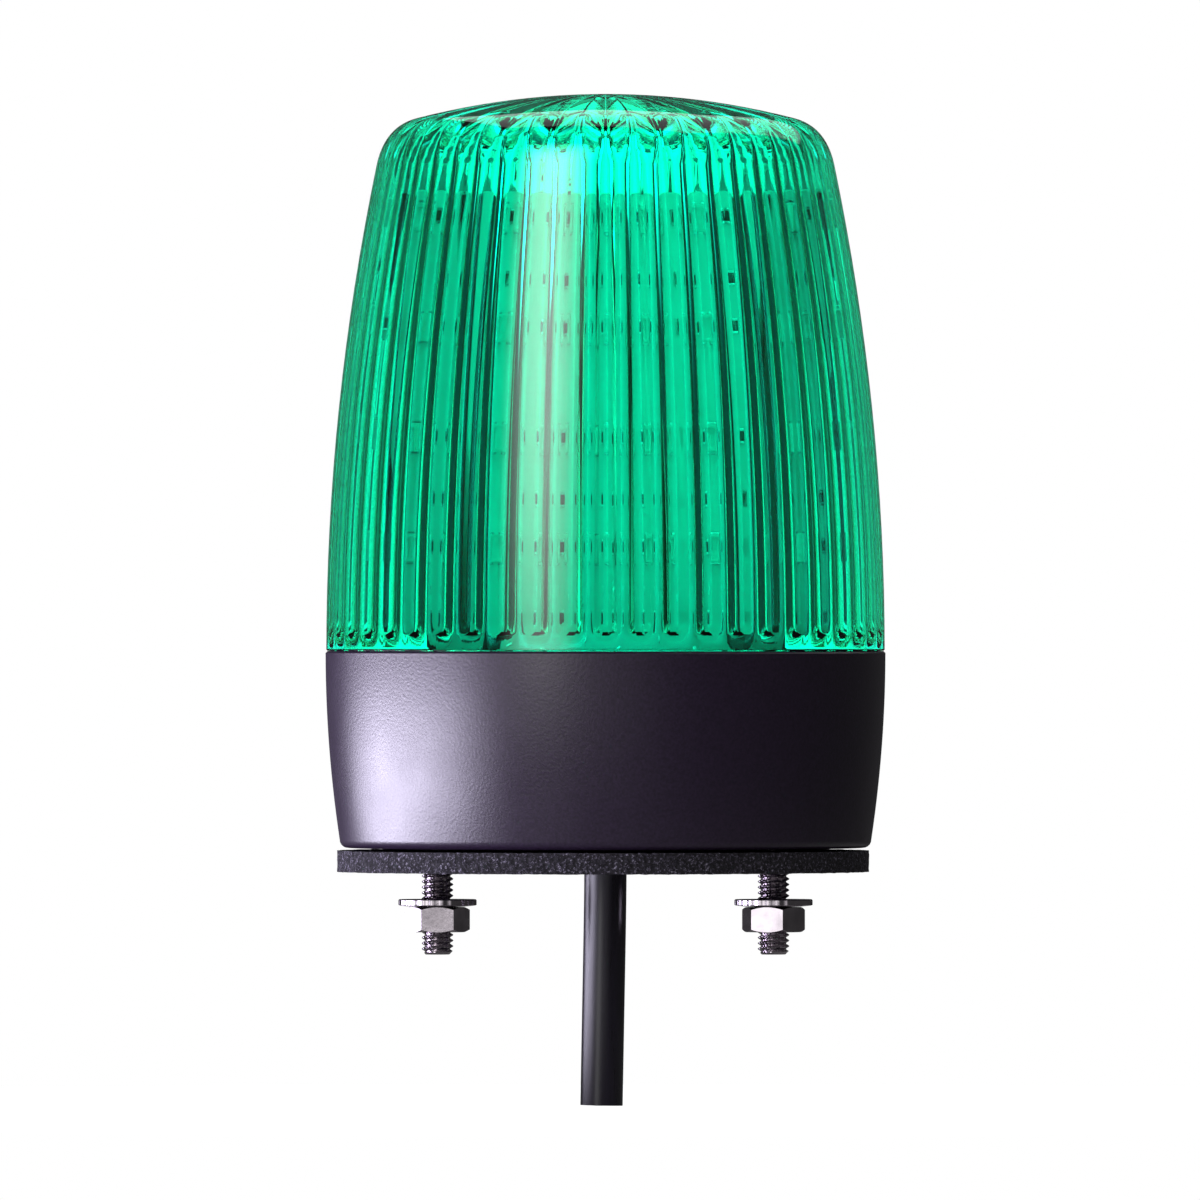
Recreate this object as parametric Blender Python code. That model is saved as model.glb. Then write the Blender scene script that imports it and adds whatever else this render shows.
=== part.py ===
"""Panel-mounted LED signal beacon, 70 mm class, built as an assembly of separate parts.

Frame: +Z up, origin at the centre of the mounting plane (the underside of the foam gasket).
The two studs lie on the X axis. All sizes below are in millimetres times MM, so in metres.
"""

import math

import bmesh
import bpy
from mathutils import Matrix, Vector

MM = 0.001
GAP = 0.3 * MM  # air between neighbouring parts
OVERLAP = 0.4 * MM  # how far two shapes run into each other where they are joined
TAU = 2 * math.pi
SHARP = math.radians(35)  # an edge that turns more than this stays crisp

# Round shells
LENS_SEGMENTS = 96  # two for each rib inside the lens
BASE_SEGMENTS = 80
GASKET_SEGMENTS = 72
PLATE_SEGMENTS = 64
SMALL_SEGMENTS = 16
JOINT_Z = 27.75 * MM  # where the lens meets the base
BASE_RIM_R = 35.0 * MM
BASE_BOTTOM_Z = 3.1 * MM
BASE_ARC_R = 157.0 * MM  # side of the base, seen from the front
BASE_CORNER_R = 1.0 * MM
BASE_BORE_R = 32.8 * MM
BASE_BORE_END_Z = 19.0 * MM
BASE_FLOOR_R = 31.0 * MM
FLOOR_Z = 5.6 * MM

LENS_R = 34.9 * MM
LENS_ARC_R = 293.0 * MM  # side of the lens, seen from the front
LENS_WALL = 2.2 * MM
LENS_TOP_Z = 97.3 * MM
CROWN_R = 92.0 * MM
SHOULDER_LOW_Z = 88.4 * MM
SHOULDER_TOP_R = 23.6 * MM
RIB_DEPTH = 0.9 * MM
RIB_LOW_Z = 30.3 * MM
RIB_TOP_Z = 91.0 * MM
SPIGOT_R = 31.0 * MM
SPIGOT_BORE_R = 29.0 * MM
SPIGOT_LOW_Z = 19.2 * MM

# Three-start quick thread between lens and base
STARTS = 3
LEAD = 18.0 * MM
LUG_HEIGHT = 1.8 * MM
LENS_LUG_R = 32.4 * MM
BASE_LUG_R = 31.4 * MM
LENS_LUG_ARC = math.radians(36)
BASE_LUG_ARC = math.radians(44)
LUG_SPLIT_Z = 22.45 * MM  # between the lens lug below and the base lug above
LUG_STEPS = 8

SEAL_Z = (26.1 * MM, 27.5 * MM)

# Gasket and panel hardware
GASKET_R = 33.4 * MM
GASKET_Z = 2.8 * MM
GASKET_SHIFT = -0.3 * MM
GASKET_HOLE_R = 5.2 * MM
STUD_X = 21.0 * MM
STUD_R = 2.0 * MM
STUD_LOW_Z = -10.25 * MM
STUD_HOLE_R = STUD_R + GAP
HEX_AF = 7.0 * MM
HEX_TURN = math.radians(30)  # a corner on the viewer's side
HEAD_LOW_Z = 6.4 * MM
HEAD_TOP_Z = 9.2 * MM
BOSS_R = 6.2 * MM
BOSS_TOP_Z = 9.6 * MM
PANEL = 3.3 * MM
WASHER_R = 4.9 * MM
WASHER_LOW_Z = -4.25 * MM
NUT_TOP_Z = WASHER_LOW_Z - GAP
NUT_LOW_Z = -7.45 * MM
NUT_TURNS = {"left": math.radians(30), "right": math.radians(16)}
SIDES = {"left": -1, "right": 1}

# Cable
CABLE_R = 2.65 * MM
CABLE_BORE_R = CABLE_R + GAP
CABLE_ROUTE = [
    (0.0, 0.0, 12.5),
    (0.0, 0.0, 5.5),
    (-0.02, 0.0, -1.5),
    (-0.12, 0.0, -8.5),
    (-0.25, 0.0, -15.5),
    (-0.38, 0.0, -22.5),
    (-0.5, 0.0, -29.1),
]
CABLE_HOLE_R = 4.6 * MM
GROMMET_FLANGE_R = 6.4 * MM
GROMMET_NECK_R = 4.3 * MM
GROMMET_Z = (0.4 * MM, 7.4 * MM)
GROMMET_EDGE = 0.5 * MM
TIE_R = 4.0 * MM
TIE_Z = (8.2 * MM, 11.0 * MM)
TIE_HEAD_SIZE = (3.6 * MM, 4.2 * MM, 3.6 * MM)
TIE_HEAD_X = 5.2 * MM
LEAD_R = 0.8 * MM
LEAD_Y = 2.6  # of the two terminals, in millimetres like the route of a lead
LEAD_Z = 19.0

# Electronics in the base
DRIVER_R = 28.4 * MM
DRIVER_Z = (14.0 * MM, 15.6 * MM)
COMPONENT_Z = DRIVER_Z[1] + 0.1 * MM
STANDOFF_R = 25.6 * MM  # radius of the three standoffs from the centre
POST_R = 3.0 * MM
SCREW_R = 1.2 * MM
SCREW_HOLE_R = 1.5 * MM
SPACER_R = 2.9 * MM
SPACER_BORE_DEPTH = 5.5 * MM
SCREW_HEAD_R = 2.4 * MM
SCREW_HEAD_HEIGHT = 1.5 * MM
SCREW_REACH = 4.5 * MM  # below the top of the standoff
TERMINAL_SIZE = (8.0 * MM, 10.4 * MM, 6.6 * MM)
TERMINAL_X = 14.0 * MM
TERMINAL_SCREW_X = 14.8 * MM
TERMINAL_SCREW_R = 1.3 * MM
TERMINAL_SCREW_Z = (20.8 * MM, 21.8 * MM)
CAPACITOR_R = 4.0 * MM
CAPACITOR_TOP_Z = 22.6 * MM
CAPACITOR_PLACE = (-13.0 * MM, 9.0 * MM, 0)
BOXED_PARTS = {  # name: (x, y, size, material)
    "choke": (-13.0 * MM, -9.0 * MM, (9.0 * MM, 9.0 * MM, 5.0 * MM), "ferrite"),
    "controller_chip": (3.0 * MM, -14.0 * MM, (4.9 * MM, 3.9 * MM, 1.6 * MM), "chip"),
    "tower_connector": (0, 13.0 * MM, (12.8 * MM, 3.4 * MM, 6.8 * MM), "chip"),
}

# LED tower: three wide and three narrow boards in turn round a black carrier
TOWER_TURN = math.radians(4.35)
PLATE_R = 28.6 * MM
PLATE_Z = (23.2 * MM, 25.4 * MM)
CARRIER_TOP_Z = 84.0 * MM
CAP_Z = (81.6 * MM, 84.2 * MM)
BOARD_THICKNESS = 1.2 * MM
BOARD_Z = (25.7 * MM, 84.4 * MM)
WIDE_FACE = 16.8 * MM  # from the tower's axis to the outer face of a wide board
NARROW_FACE = 22.0 * MM
WIDE_BOARD = 28.4 * MM
NARROW_BOARD = 9.8 * MM
CARRIER_WALL = 1.8 * MM
WIDE_COLUMNS = (-11.4 * MM, -1.9 * MM, 7.6 * MM)
NARROW_COLUMNS = (-1.0 * MM,)
LED_ROWS = 4
LED_TOP_ROW_Z = 81.2 * MM
LED_PITCH = 13.6 * MM
LED_SIZE = (2.8 * MM, 1.9 * MM, 3.5 * MM)
PART_GAP = 0.1 * MM  # under a part that sits on a flat face


# ---------------------------------------------------------------- helpers


def clear_scene():
    for obj in list(bpy.data.objects):
        bpy.data.objects.remove(obj, do_unlink=True)


def make_material(name, color, roughness, metallic=0.0, transmission=0.0):
    material = bpy.data.materials.new(name)
    material.use_nodes = True
    shader = material.node_tree.nodes["Principled BSDF"]
    shader.inputs["Base Color"].default_value = (*color, 1.0)
    shader.inputs["Roughness"].default_value = roughness
    shader.inputs["Metallic"].default_value = metallic
    shader.inputs["Transmission Weight"].default_value = transmission
    material.diffuse_color = (*color, 1.0)
    return material


def finish(name, mesh_builder, material, location=(0, 0, 0), turn=0.0, smooth=True):
    """Makes an object from a bmesh, with clean outward normals."""
    bmesh.ops.remove_doubles(mesh_builder, verts=mesh_builder.verts[:], dist=1e-7)
    bmesh.ops.recalc_face_normals(mesh_builder, faces=mesh_builder.faces[:])
    mesh = bpy.data.meshes.new(name)
    mesh_builder.to_mesh(mesh)
    mesh_builder.free()
    if smooth:
        mesh.shade_smooth()
        mesh.set_sharp_from_angle(angle=SHARP)
    obj = bpy.data.objects.new(name, mesh)
    obj.location = location
    obj.rotation_euler[2] = turn
    bpy.context.scene.collection.objects.link(obj)
    if material:
        mesh.materials.append(material)
    return obj


def add_lathe(bm, profile, segments):
    """Turns a closed profile of (radius, z) points round Z."""
    verts = [bm.verts.new((radius, 0, z)) for radius, z in profile]
    pairs = zip(verts, verts[1:] + verts[:1])
    edges = [
        bm.edges.new(pair)
        for pair in pairs
        if pair[0].co.x > 1e-9 or pair[1].co.x > 1e-9
    ]
    bmesh.ops.spin(
        bm,
        geom=edges,
        cent=(0, 0, 0),
        axis=(0, 0, 1),
        dvec=(0, 0, 0),
        angle=TAU,
        steps=segments,
        use_merge=True,
        use_duplicate=False,
    )
    bmesh.ops.remove_doubles(bm, verts=bm.verts[:], dist=1e-7)
    bmesh.ops.dissolve_degenerate(bm, edges=bm.edges[:], dist=1e-8)


def lathe(name, profile, material, segments=32, **placing):
    bm = bmesh.new()
    add_lathe(bm, profile, segments)
    return finish(name, bm, material, **placing)


def add_prism(bm, outline, low, high):
    """Extrudes a closed outline of (x, y) points from z = low to z = high."""
    face = bm.faces.new([bm.verts.new((x, y, low)) for x, y in outline])
    raised = bmesh.ops.extrude_face_region(bm, geom=[face])
    verts = [item for item in raised["geom"] if isinstance(item, bmesh.types.BMVert)]
    bmesh.ops.translate(bm, verts=verts, vec=(0, 0, high - low))


def prism(name, outline, low, high, material, **placing):
    bm = bmesh.new()
    add_prism(bm, outline, low, high)
    return finish(name, bm, material, smooth=False, **placing)


def add_box(bm, centre, size, turn=0.0):
    place = Matrix.Rotation(turn, 4, "Z") @ Matrix.Translation(centre)
    bmesh.ops.create_cube(bm, size=1, matrix=place @ Matrix.Diagonal((*size, 1)))


def regular(count, radius, turn=0.0):
    angles = (turn + TAU * index / count for index in range(count))
    return [(radius * math.cos(angle), radius * math.sin(angle)) for angle in angles]


def hexagon(across_flats, turn=0.0):
    return regular(6, across_flats / math.sqrt(3), turn)


def combine(target, other, operation):
    """A live Boolean, whose second shape is a hidden helper."""
    other.hide_render = True
    other.display_type = "WIRE"
    modifier = target.modifiers.new(f"{operation.lower()} {other.name}", "BOOLEAN")
    modifier.operation = operation
    modifier.solver = "EXACT"
    modifier.object = other
    return target


def cut(target, cutter):
    return combine(target, cutter, "DIFFERENCE")


def join(target, addition):
    return combine(target, addition, "UNION")


def cylinder(name, radius, low, high, material=None, segments=24, **placing):
    outline = regular(segments, radius, TAU / segments / 2)
    return prism(name, outline, low, high, material, **placing)


def arc_side(radius, arc_radius, from_z, z):
    """Radius at height z of a side that is an arc, upright at from_z."""
    return radius - (z - from_z) ** 2 / (2 * arc_radius)


def standoff_places():
    for index in range(3):
        angle = TOWER_TURN - TAU / 4 + index * TAU / 3
        yield STANDOFF_R * math.cos(angle), STANDOFF_R * math.sin(angle)


# ---------------------------------------------------------------- thread lugs


def thread_lugs(name, inner_r, outer_r, low_z, arc):
    """Three ridges that climb round Z at the lead of the thread."""
    bm = bmesh.new()
    for start in range(STARTS):
        begin = start * TAU / STARTS - arc / 2
        low = low_z - LEAD * arc / TAU / 2
        corners = [
            (inner_r, low),
            (outer_r, low),
            (outer_r, low + LUG_HEIGHT),
            (inner_r, low + LUG_HEIGHT),
        ]
        verts = [
            bm.verts.new((r * math.cos(begin), r * math.sin(begin), z))
            for r, z in corners
        ]
        face = bm.faces.new(verts)
        bmesh.ops.spin(
            bm,
            geom=[face, *face.edges],
            cent=(0, 0, 0),
            axis=(0, 0, 1),
            dvec=(0, 0, LEAD * arc / TAU / LUG_STEPS),
            angle=arc,
            steps=LUG_STEPS,
            use_duplicate=False,
        )
    return finish(name, bm, None, smooth=False)


# ---------------------------------------------------------------- shells


def base_profile():
    rim_z = JOINT_Z - GAP / 2
    corner_z = BASE_BOTTOM_Z + BASE_CORNER_R
    corner_r = arc_side(BASE_RIM_R, BASE_ARC_R, rim_z, corner_z)
    side = []
    for step in range(6):
        z = rim_z + (corner_z - rim_z) * step / 5
        side.append((arc_side(BASE_RIM_R, BASE_ARC_R, rim_z, z), z))
    corner = []
    for degrees in (30, 60, 90):
        angle = math.radians(degrees)
        radius = corner_r - BASE_CORNER_R * (1 - math.cos(angle))
        corner.append((radius, corner_z - BASE_CORNER_R * math.sin(angle)))
    inside = [
        (CABLE_HOLE_R, BASE_BOTTOM_Z),
        (CABLE_HOLE_R, FLOOR_Z),
        (BASE_FLOOR_R, FLOOR_Z),
        (BASE_BORE_R, BASE_BORE_END_Z),
        (BASE_BORE_R, rim_z),
    ]
    return side + corner + inside


def build_base(materials):
    base = lathe("base_housing", base_profile(), materials["black"], BASE_SEGMENTS)
    lug_z = LUG_SPLIT_Z + GAP / 2
    lug_root = BASE_BORE_R + OVERLAP
    join(base, thread_lugs("base_lugs", BASE_LUG_R, lug_root, lug_z, BASE_LUG_ARC))
    under = FLOOR_Z - OVERLAP
    pocket = hexagon(HEX_AF + 2 * GAP, HEX_TURN)
    for side, sign in SIDES.items():
        place = (sign * STUD_X, 0, 0)
        boss = cylinder(f"{side}_boss", BOSS_R, under, BOSS_TOP_Z, location=place)
        join(base, boss)
        hole = cylinder(
            f"{side}_stud_hole", STUD_HOLE_R, 0, BOSS_TOP_Z, location=place
        )
        cut(base, hole)
        seat = prism(
            f"{side}_head_pocket",
            pocket,
            HEAD_LOW_Z - GAP,
            BOSS_TOP_Z + MM,
            None,
            location=place,
        )
        cut(base, seat)
    for index, (x, y) in enumerate(standoff_places()):
        top = DRIVER_Z[0] - GAP
        post = cylinder(f"post_{index}", POST_R, under, top, location=(x, y, 0))
        join(base, post)
        drill = cylinder(
            f"post_hole_{index}",
            SCREW_HOLE_R,
            FLOOR_Z + MM,
            top + MM,
            segments=SMALL_SEGMENTS,
            location=(x, y, 0),
        )
        cut(base, drill)
    return base


def shoulder(low, high, low_slope, high_slope, steps):
    """A smooth corner between two points, tangent to a slope (dr, dz) at each."""
    start, end = Vector(low), Vector(high)
    first, last = Vector(low_slope), Vector(high_slope)
    reach = (end - start).cross(last) / first.cross(last)
    corner = start + first * reach
    points = []
    for step in range(1, steps):
        t = step / steps
        point = start * (1 - t) ** 2 + corner * 2 * t * (1 - t) + end * t**2
        points.append((point.x, point.y))
    return points


def crown_z(radius, inset=0.0):
    return LENS_TOP_Z - inset - radius**2 / (2 * CROWN_R)


def lens_outline(inset, from_z, rows, crown_rows):
    """Side, shoulder and crown of the lens, from z = from_z up to the axis."""
    seat_z = JOINT_Z + GAP / 2
    low_z = SHOULDER_LOW_Z - inset / 2
    top_r = SHOULDER_TOP_R - inset / 2
    points = []
    for row in range(rows + 1):
        z = from_z + (low_z - from_z) * row / rows
        points.append((arc_side(LENS_R, LENS_ARC_R, seat_z, z) - inset, z))
    high = (top_r, crown_z(top_r, inset))
    low_slope = (-(low_z - seat_z) / LENS_ARC_R, 1)
    high_slope = (-1, top_r / CROWN_R)
    points += shoulder(points[-1], high, low_slope, high_slope, 4)
    for row in range(crown_rows):
        radius = top_r * (1 - row / crown_rows)
        points.append((radius, crown_z(radius, inset)))
    points.append((0, crown_z(0, inset)))
    return points


def build_lens(materials):
    seat_z = JOINT_Z + GAP / 2
    outer = lens_outline(0, seat_z, 4, 2)
    inner = lens_outline(LENS_WALL, RIB_LOW_Z, 4, 2)
    spigot = [
        (SPIGOT_BORE_R, RIB_LOW_Z - MM),
        (SPIGOT_BORE_R, SPIGOT_LOW_Z),
        (SPIGOT_R, SPIGOT_LOW_Z),
        (SPIGOT_R, seat_z),
    ]
    profile = outer + inner[::-1] + spigot
    bm = bmesh.new()
    add_lathe(bm, profile, LENS_SEGMENTS)
    for vert in bm.verts:
        radius = math.hypot(vert.co.x, vert.co.y)
        if not RIB_LOW_Z + 0.1 * MM < vert.co.z < RIB_TOP_Z:
            continue
        wall_r = arc_side(LENS_R, LENS_ARC_R, seat_z, vert.co.z)
        on_inner_wall = SPIGOT_BORE_R * 0.8 < radius < wall_r - LENS_WALL * 0.8
        step = round(math.atan2(vert.co.y, vert.co.x) / TAU * LENS_SEGMENTS)
        crest = step % 2 == 0
        if on_inner_wall and crest:
            vert.co.xy *= (radius - RIB_DEPTH) / radius
    lens = finish("lens_dome", bm, materials["lens"])
    lug_z = LUG_SPLIT_Z - GAP / 2 - LUG_HEIGHT
    lugs = thread_lugs("lens_lugs", SPIGOT_R - OVERLAP, LENS_LUG_R, lug_z, LENS_LUG_ARC)
    return join(lens, lugs)


def build_seal(materials):
    low, high = SEAL_Z
    inner, outer = SPIGOT_R + GAP, BASE_BORE_R - GAP
    profile = [(inner, high), (outer, high), (outer, low), (inner, low)]
    lathe("lens_seal", profile, materials["rubber"], GASKET_SEGMENTS)


# ---------------------------------------------------------------- panel side


def build_gasket(materials):
    edge = 0.1 * MM
    profile = [
        (GASKET_R - edge, GASKET_Z),
        (GASKET_R, 0.3 * MM),
        (GASKET_R, 0),
        (GASKET_HOLE_R, 0),
        (GASKET_HOLE_R, GASKET_Z),
    ]
    place = (GASKET_SHIFT, 0, 0)
    foam = materials["foam"]
    gasket = lathe("mounting_gasket", profile, foam, GASKET_SEGMENTS, location=place)
    for side, sign in SIDES.items():
        hole = cylinder(
            f"{side}_gasket_hole",
            STUD_HOLE_R + 0.1 * MM,
            -MM,
            GASKET_Z + MM,
            location=(sign * STUD_X, 0, 0),
        )
        cut(gasket, hole)


def build_stud(side, materials):
    chamfer = 0.45 * MM
    into_head = HEAD_LOW_Z + MM
    profile = [
        (0, into_head),
        (STUD_R, into_head),
        (STUD_R, STUD_LOW_Z + chamfer),
        (STUD_R - chamfer, STUD_LOW_Z),
        (0, STUD_LOW_Z),
    ]
    place = (SIDES[side] * STUD_X, 0, 0)
    stud = lathe(f"stud_{side}", profile, materials["steel"], 24, location=place)
    outline = hexagon(HEX_AF, HEX_TURN)
    head = prism(f"{side}_head", outline, HEAD_LOW_Z, HEAD_TOP_Z, None, location=place)
    join(stud, head)


def build_washer(side, materials):
    dish = 0.3 * MM
    hole_r = STUD_HOLE_R
    profile = [
        (hole_r, -PANEL),
        (hole_r, WASHER_LOW_Z),
        (WASHER_R - 2 * dish, WASHER_LOW_Z),
        (WASHER_R, WASHER_LOW_Z + dish),
        (WASHER_R, -PANEL - dish / 2),
        (WASHER_R - dish / 2, -PANEL),
    ]
    place = (SIDES[side] * STUD_X, 0, 0)
    lathe(f"washer_{side}", profile, materials["steel"], 32, location=place)


def build_nut(side, materials):
    place = (SIDES[side] * STUD_X, 0, 0)
    chamfer_rise = 0.5 * MM
    corner_r = HEX_AF / math.sqrt(3)
    flat_r = HEX_AF / 2
    nut = prism(
        f"nut_{side}",
        hexagon(HEX_AF, HEX_TURN),
        NUT_LOW_Z,
        NUT_TOP_Z,
        materials["steel"],
        location=place,
        turn=NUT_TURNS[side],
    )
    rounding = lathe(
        f"{side}_nut_rounding",
        [
            (0, NUT_TOP_Z),
            (flat_r, NUT_TOP_Z),
            (corner_r + MM, NUT_TOP_Z - chamfer_rise * 2.8),
            (corner_r + MM, NUT_LOW_Z + chamfer_rise * 2.8),
            (flat_r, NUT_LOW_Z),
            (0, NUT_LOW_Z),
        ],
        None,
        32,
        location=place,
    )
    combine(nut, rounding, "INTERSECT")
    bore = cylinder(
        f"{side}_nut_bore", STUD_HOLE_R, NUT_LOW_Z - MM, NUT_TOP_Z + MM, location=place
    )
    cut(nut, bore)


# ---------------------------------------------------------------- cable


def smooth_route(points, per_span):
    """Points on a smooth curve through the route, in metres."""
    route = [Vector(point) * MM for point in points]
    ends = [route[0] * 2 - route[1], *route, route[-1] * 2 - route[-2]]
    found = []
    for before, start, end, after in zip(ends, ends[1:], ends[2:], ends[3:]):
        for step in range(per_span):
            t = step / per_span
            found.append(
                (
                    start * 2
                    + (end - before) * t
                    + (before * 2 - start * 5 + end * 4 - after) * t**2
                    + (start * 3 - before - end * 3 + after) * t**3
                )
                / 2
            )
    return [*found, route[-1]]


def tube(name, points, radius, material, per_span=1):
    curve = bpy.data.curves.new(name, "CURVE")
    curve.dimensions = "3D"
    curve.bevel_depth = radius
    curve.bevel_resolution = 2
    curve.use_fill_caps = True
    spline = curve.splines.new("POLY")
    route = smooth_route(points, per_span)
    spline.points.add(len(route) - 1)
    for target, point in zip(spline.points, route):
        target.co = (*point, 1)
    curve.materials.append(material)
    obj = bpy.data.objects.new(name, curve)
    bpy.context.scene.collection.objects.link(obj)


def build_cable(materials):
    tube("cable", CABLE_ROUTE, CABLE_R, materials["cable"])
    low, high = GROMMET_Z
    grommet = [
        (CABLE_BORE_R, high),
        (GROMMET_FLANGE_R - GROMMET_EDGE, high),
        (GROMMET_FLANGE_R, high - GROMMET_EDGE),
        (GROMMET_FLANGE_R, FLOOR_Z + GAP),
        (GROMMET_NECK_R, FLOOR_Z + GAP),
        (GROMMET_NECK_R, low + GROMMET_EDGE),
        (GROMMET_NECK_R - GROMMET_EDGE, low),
        (CABLE_BORE_R, low),
    ]
    lathe("cable_grommet", grommet, materials["rubber"], 32)
    low, high = TIE_Z
    band = [(CABLE_BORE_R, high), (TIE_R, high), (TIE_R, low), (CABLE_BORE_R, low)]
    tie = lathe("cable_tie", band, materials["white_plastic"], 32)
    bm = bmesh.new()
    add_box(bm, (TIE_HEAD_X, 0, (low + high) / 2), TIE_HEAD_SIZE)
    join(tie, finish("tie_head", bm, None, smooth=False))
    for name, sign in (("lead_brown", 1), ("lead_blue", -1)):
        points = [
            (0.0, 1.0 * sign, 12.85),
            (0.4, 1.2 * sign, 14.6),
            (1.2, 1.5 * sign, 16.6),
            (3.0, 2.0 * sign, 18.3),
            (5.6, 2.5 * sign, LEAD_Z),
            (8.2, LEAD_Y * sign, LEAD_Z),
            (11.0, LEAD_Y * sign, LEAD_Z),
        ]
        tube(name, points, LEAD_R, materials[name], 2)


# ---------------------------------------------------------------- electronics


def build_driver(materials):
    low, high = DRIVER_Z
    board = cylinder("driver_board", DRIVER_R, low, high, materials["fr4"], PLATE_SEGMENTS)
    through = cylinder("cable_way", 5.0 * MM, low - MM, high + MM)
    cut(board, through)
    for index, (x, y) in enumerate(standoff_places()):
        hole = cylinder(
            f"driver_hole_{index}",
            SCREW_HOLE_R,
            low - MM,
            high + MM,
            segments=SMALL_SEGMENTS,
            location=(x, y, 0),
        )
        cut(board, hole)
        place = {"location": (x, y, 0)}
        build_spacer(f"standoff_{index + 1}", materials["brass"], place)
        build_screw(f"carrier_screw_{index + 1}", materials["steel"], place)


def build_spacer(name, material, place):
    """A standoff, with a pin down into the base and a blind hole on top."""
    low, high = DRIVER_Z[1] + PART_GAP, PLATE_Z[0] - GAP
    pin_low = FLOOR_Z + 2 * MM
    profile = [
        (0, high - SPACER_BORE_DEPTH),
        (SCREW_HOLE_R, high - SPACER_BORE_DEPTH),
        (SCREW_HOLE_R, high),
        (SPACER_R, high),
        (SPACER_R, low),
        (SCREW_R, low),
        (SCREW_R, pin_low),
        (0, pin_low),
    ]
    lathe(name, profile, material, 12, **place)


def build_screw(name, material, place):
    """A pan-head screw through the tower's plate into a standoff."""
    seat = PLATE_Z[1] + PART_GAP
    top = seat + SCREW_HEAD_HEIGHT
    low = PLATE_Z[0] - SCREW_REACH
    profile = [
        (0, top),
        (SCREW_HEAD_R * 0.75, top),
        (SCREW_HEAD_R, top - SCREW_HEAD_HEIGHT / 3),
        (SCREW_HEAD_R, seat),
        (SCREW_R, seat),
        (SCREW_R, low),
        (0, low),
    ]
    lathe(name, profile, material, 12, **place)


def build_terminal(materials):
    low = COMPONENT_Z
    bm = bmesh.new()
    add_box(bm, (TERMINAL_X, 0, low + TERMINAL_SIZE[2] / 2), TERMINAL_SIZE)
    block = finish("terminal_block", bm, materials["green_plastic"], smooth=False)
    mouth_x = TERMINAL_X - TERMINAL_SIZE[0] / 2
    screw_low, screw_high = TERMINAL_SCREW_Z
    for index, sign in enumerate((-1, 1)):
        y = LEAD_Y * MM * sign
        entry = cylinder(
            f"entry_{sign}", LEAD_R + GAP, -3 * MM, 3 * MM, segments=SMALL_SEGMENTS
        )
        entry.rotation_euler = (0, TAU / 4, 0)
        entry.location = (mouth_x, y, LEAD_Z * MM)
        cut(block, entry)
        place = (TERMINAL_SCREW_X, y, 0)
        well = cylinder(
            f"well_{sign}",
            TERMINAL_SCREW_R + GAP,
            screw_low - GAP,
            low + TERMINAL_SIZE[2] + MM,
            segments=SMALL_SEGMENTS,
            location=place,
        )
        cut(block, well)
        cylinder(
            f"terminal_screw_{index + 1}",
            TERMINAL_SCREW_R,
            screw_low,
            screw_high,
            materials["steel"],
            SMALL_SEGMENTS,
            location=place,
        )


def build_components(materials):
    low, high = COMPONENT_Z, CAPACITOR_TOP_Z
    groove = 0.35 * MM
    profile = [
        (0, high),
        (CAPACITOR_R - groove, high),
        (CAPACITOR_R, high - groove),
        (CAPACITOR_R, low + 1.8 * MM),
        (CAPACITOR_R - groove, low + 1.4 * MM),
        (CAPACITOR_R, low + 1.0 * MM),
        (CAPACITOR_R, low),
        (0, low),
    ]
    can = materials["aluminium"]
    lathe("filter_capacitor", profile, can, 24, location=CAPACITOR_PLACE)
    for name, (x, y, size, finish_name) in BOXED_PARTS.items():
        bm = bmesh.new()
        add_box(bm, (x, y, low + size[2] / 2), size)
        finish(name, bm, materials[finish_name], smooth=False)


# ---------------------------------------------------------------- LED tower


def face_place(index):
    """Direction of one face of the tower, and whether it is a wide one."""
    angle = TOWER_TURN - TAU / 4 + index * TAU / 6
    return angle, index % 2 == 0


def from_face(angle, along, out):
    """A point given along a face and out from the tower's axis, as (x, y)."""
    normal = Vector((math.cos(angle), math.sin(angle)))
    tangent = Vector((-math.sin(angle), math.cos(angle)))
    point = tangent * along + normal * out
    return point.x, point.y


def meeting(angle_a, out_a, angle_b, out_b):
    """Where two faces would meet."""
    a = Vector((math.cos(angle_a), math.sin(angle_a)))
    b = Vector((math.cos(angle_b), math.sin(angle_b)))
    determinant = a.cross(b)
    x = (out_a * b.y - out_b * a.y) / determinant
    y = (a.x * out_b - b.x * out_a) / determinant
    return x, y


def face_sizes(wide):
    out = WIDE_FACE if wide else NARROW_FACE
    half = (WIDE_BOARD if wide else NARROW_BOARD) / 2
    return out, half


def carrier_outline():
    """Six recessed faces for the boards, with a post left standing at each corner."""
    behind = BOARD_THICKNESS + GAP
    flush = 0.1 * MM
    outline = []
    for index in range(6):
        angle, wide = face_place(index)
        out, half = face_sizes(wide)
        next_angle, next_wide = face_place(index + 1)
        next_out, _ = face_sizes(next_wide)
        edge = half + GAP
        outline.append(from_face(angle, -edge, out - flush))
        outline.append(from_face(angle, -edge, out - behind))
        outline.append(from_face(angle, edge, out - behind))
        outline.append(from_face(angle, edge, out - flush))
        corner = meeting(angle, out - flush, next_angle, next_out - flush)
        outline.append(corner)
    return outline


def carrier_bore(inset):
    depth = BOARD_THICKNESS + GAP + CARRIER_WALL + inset
    points = []
    for index in range(6):
        angle, wide = face_place(index)
        next_angle, next_wide = face_place(index + 1)
        out = face_sizes(wide)[0] - depth
        next_out = face_sizes(next_wide)[0] - depth
        points.append(meeting(angle, out, next_angle, next_out))
    return points


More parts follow.
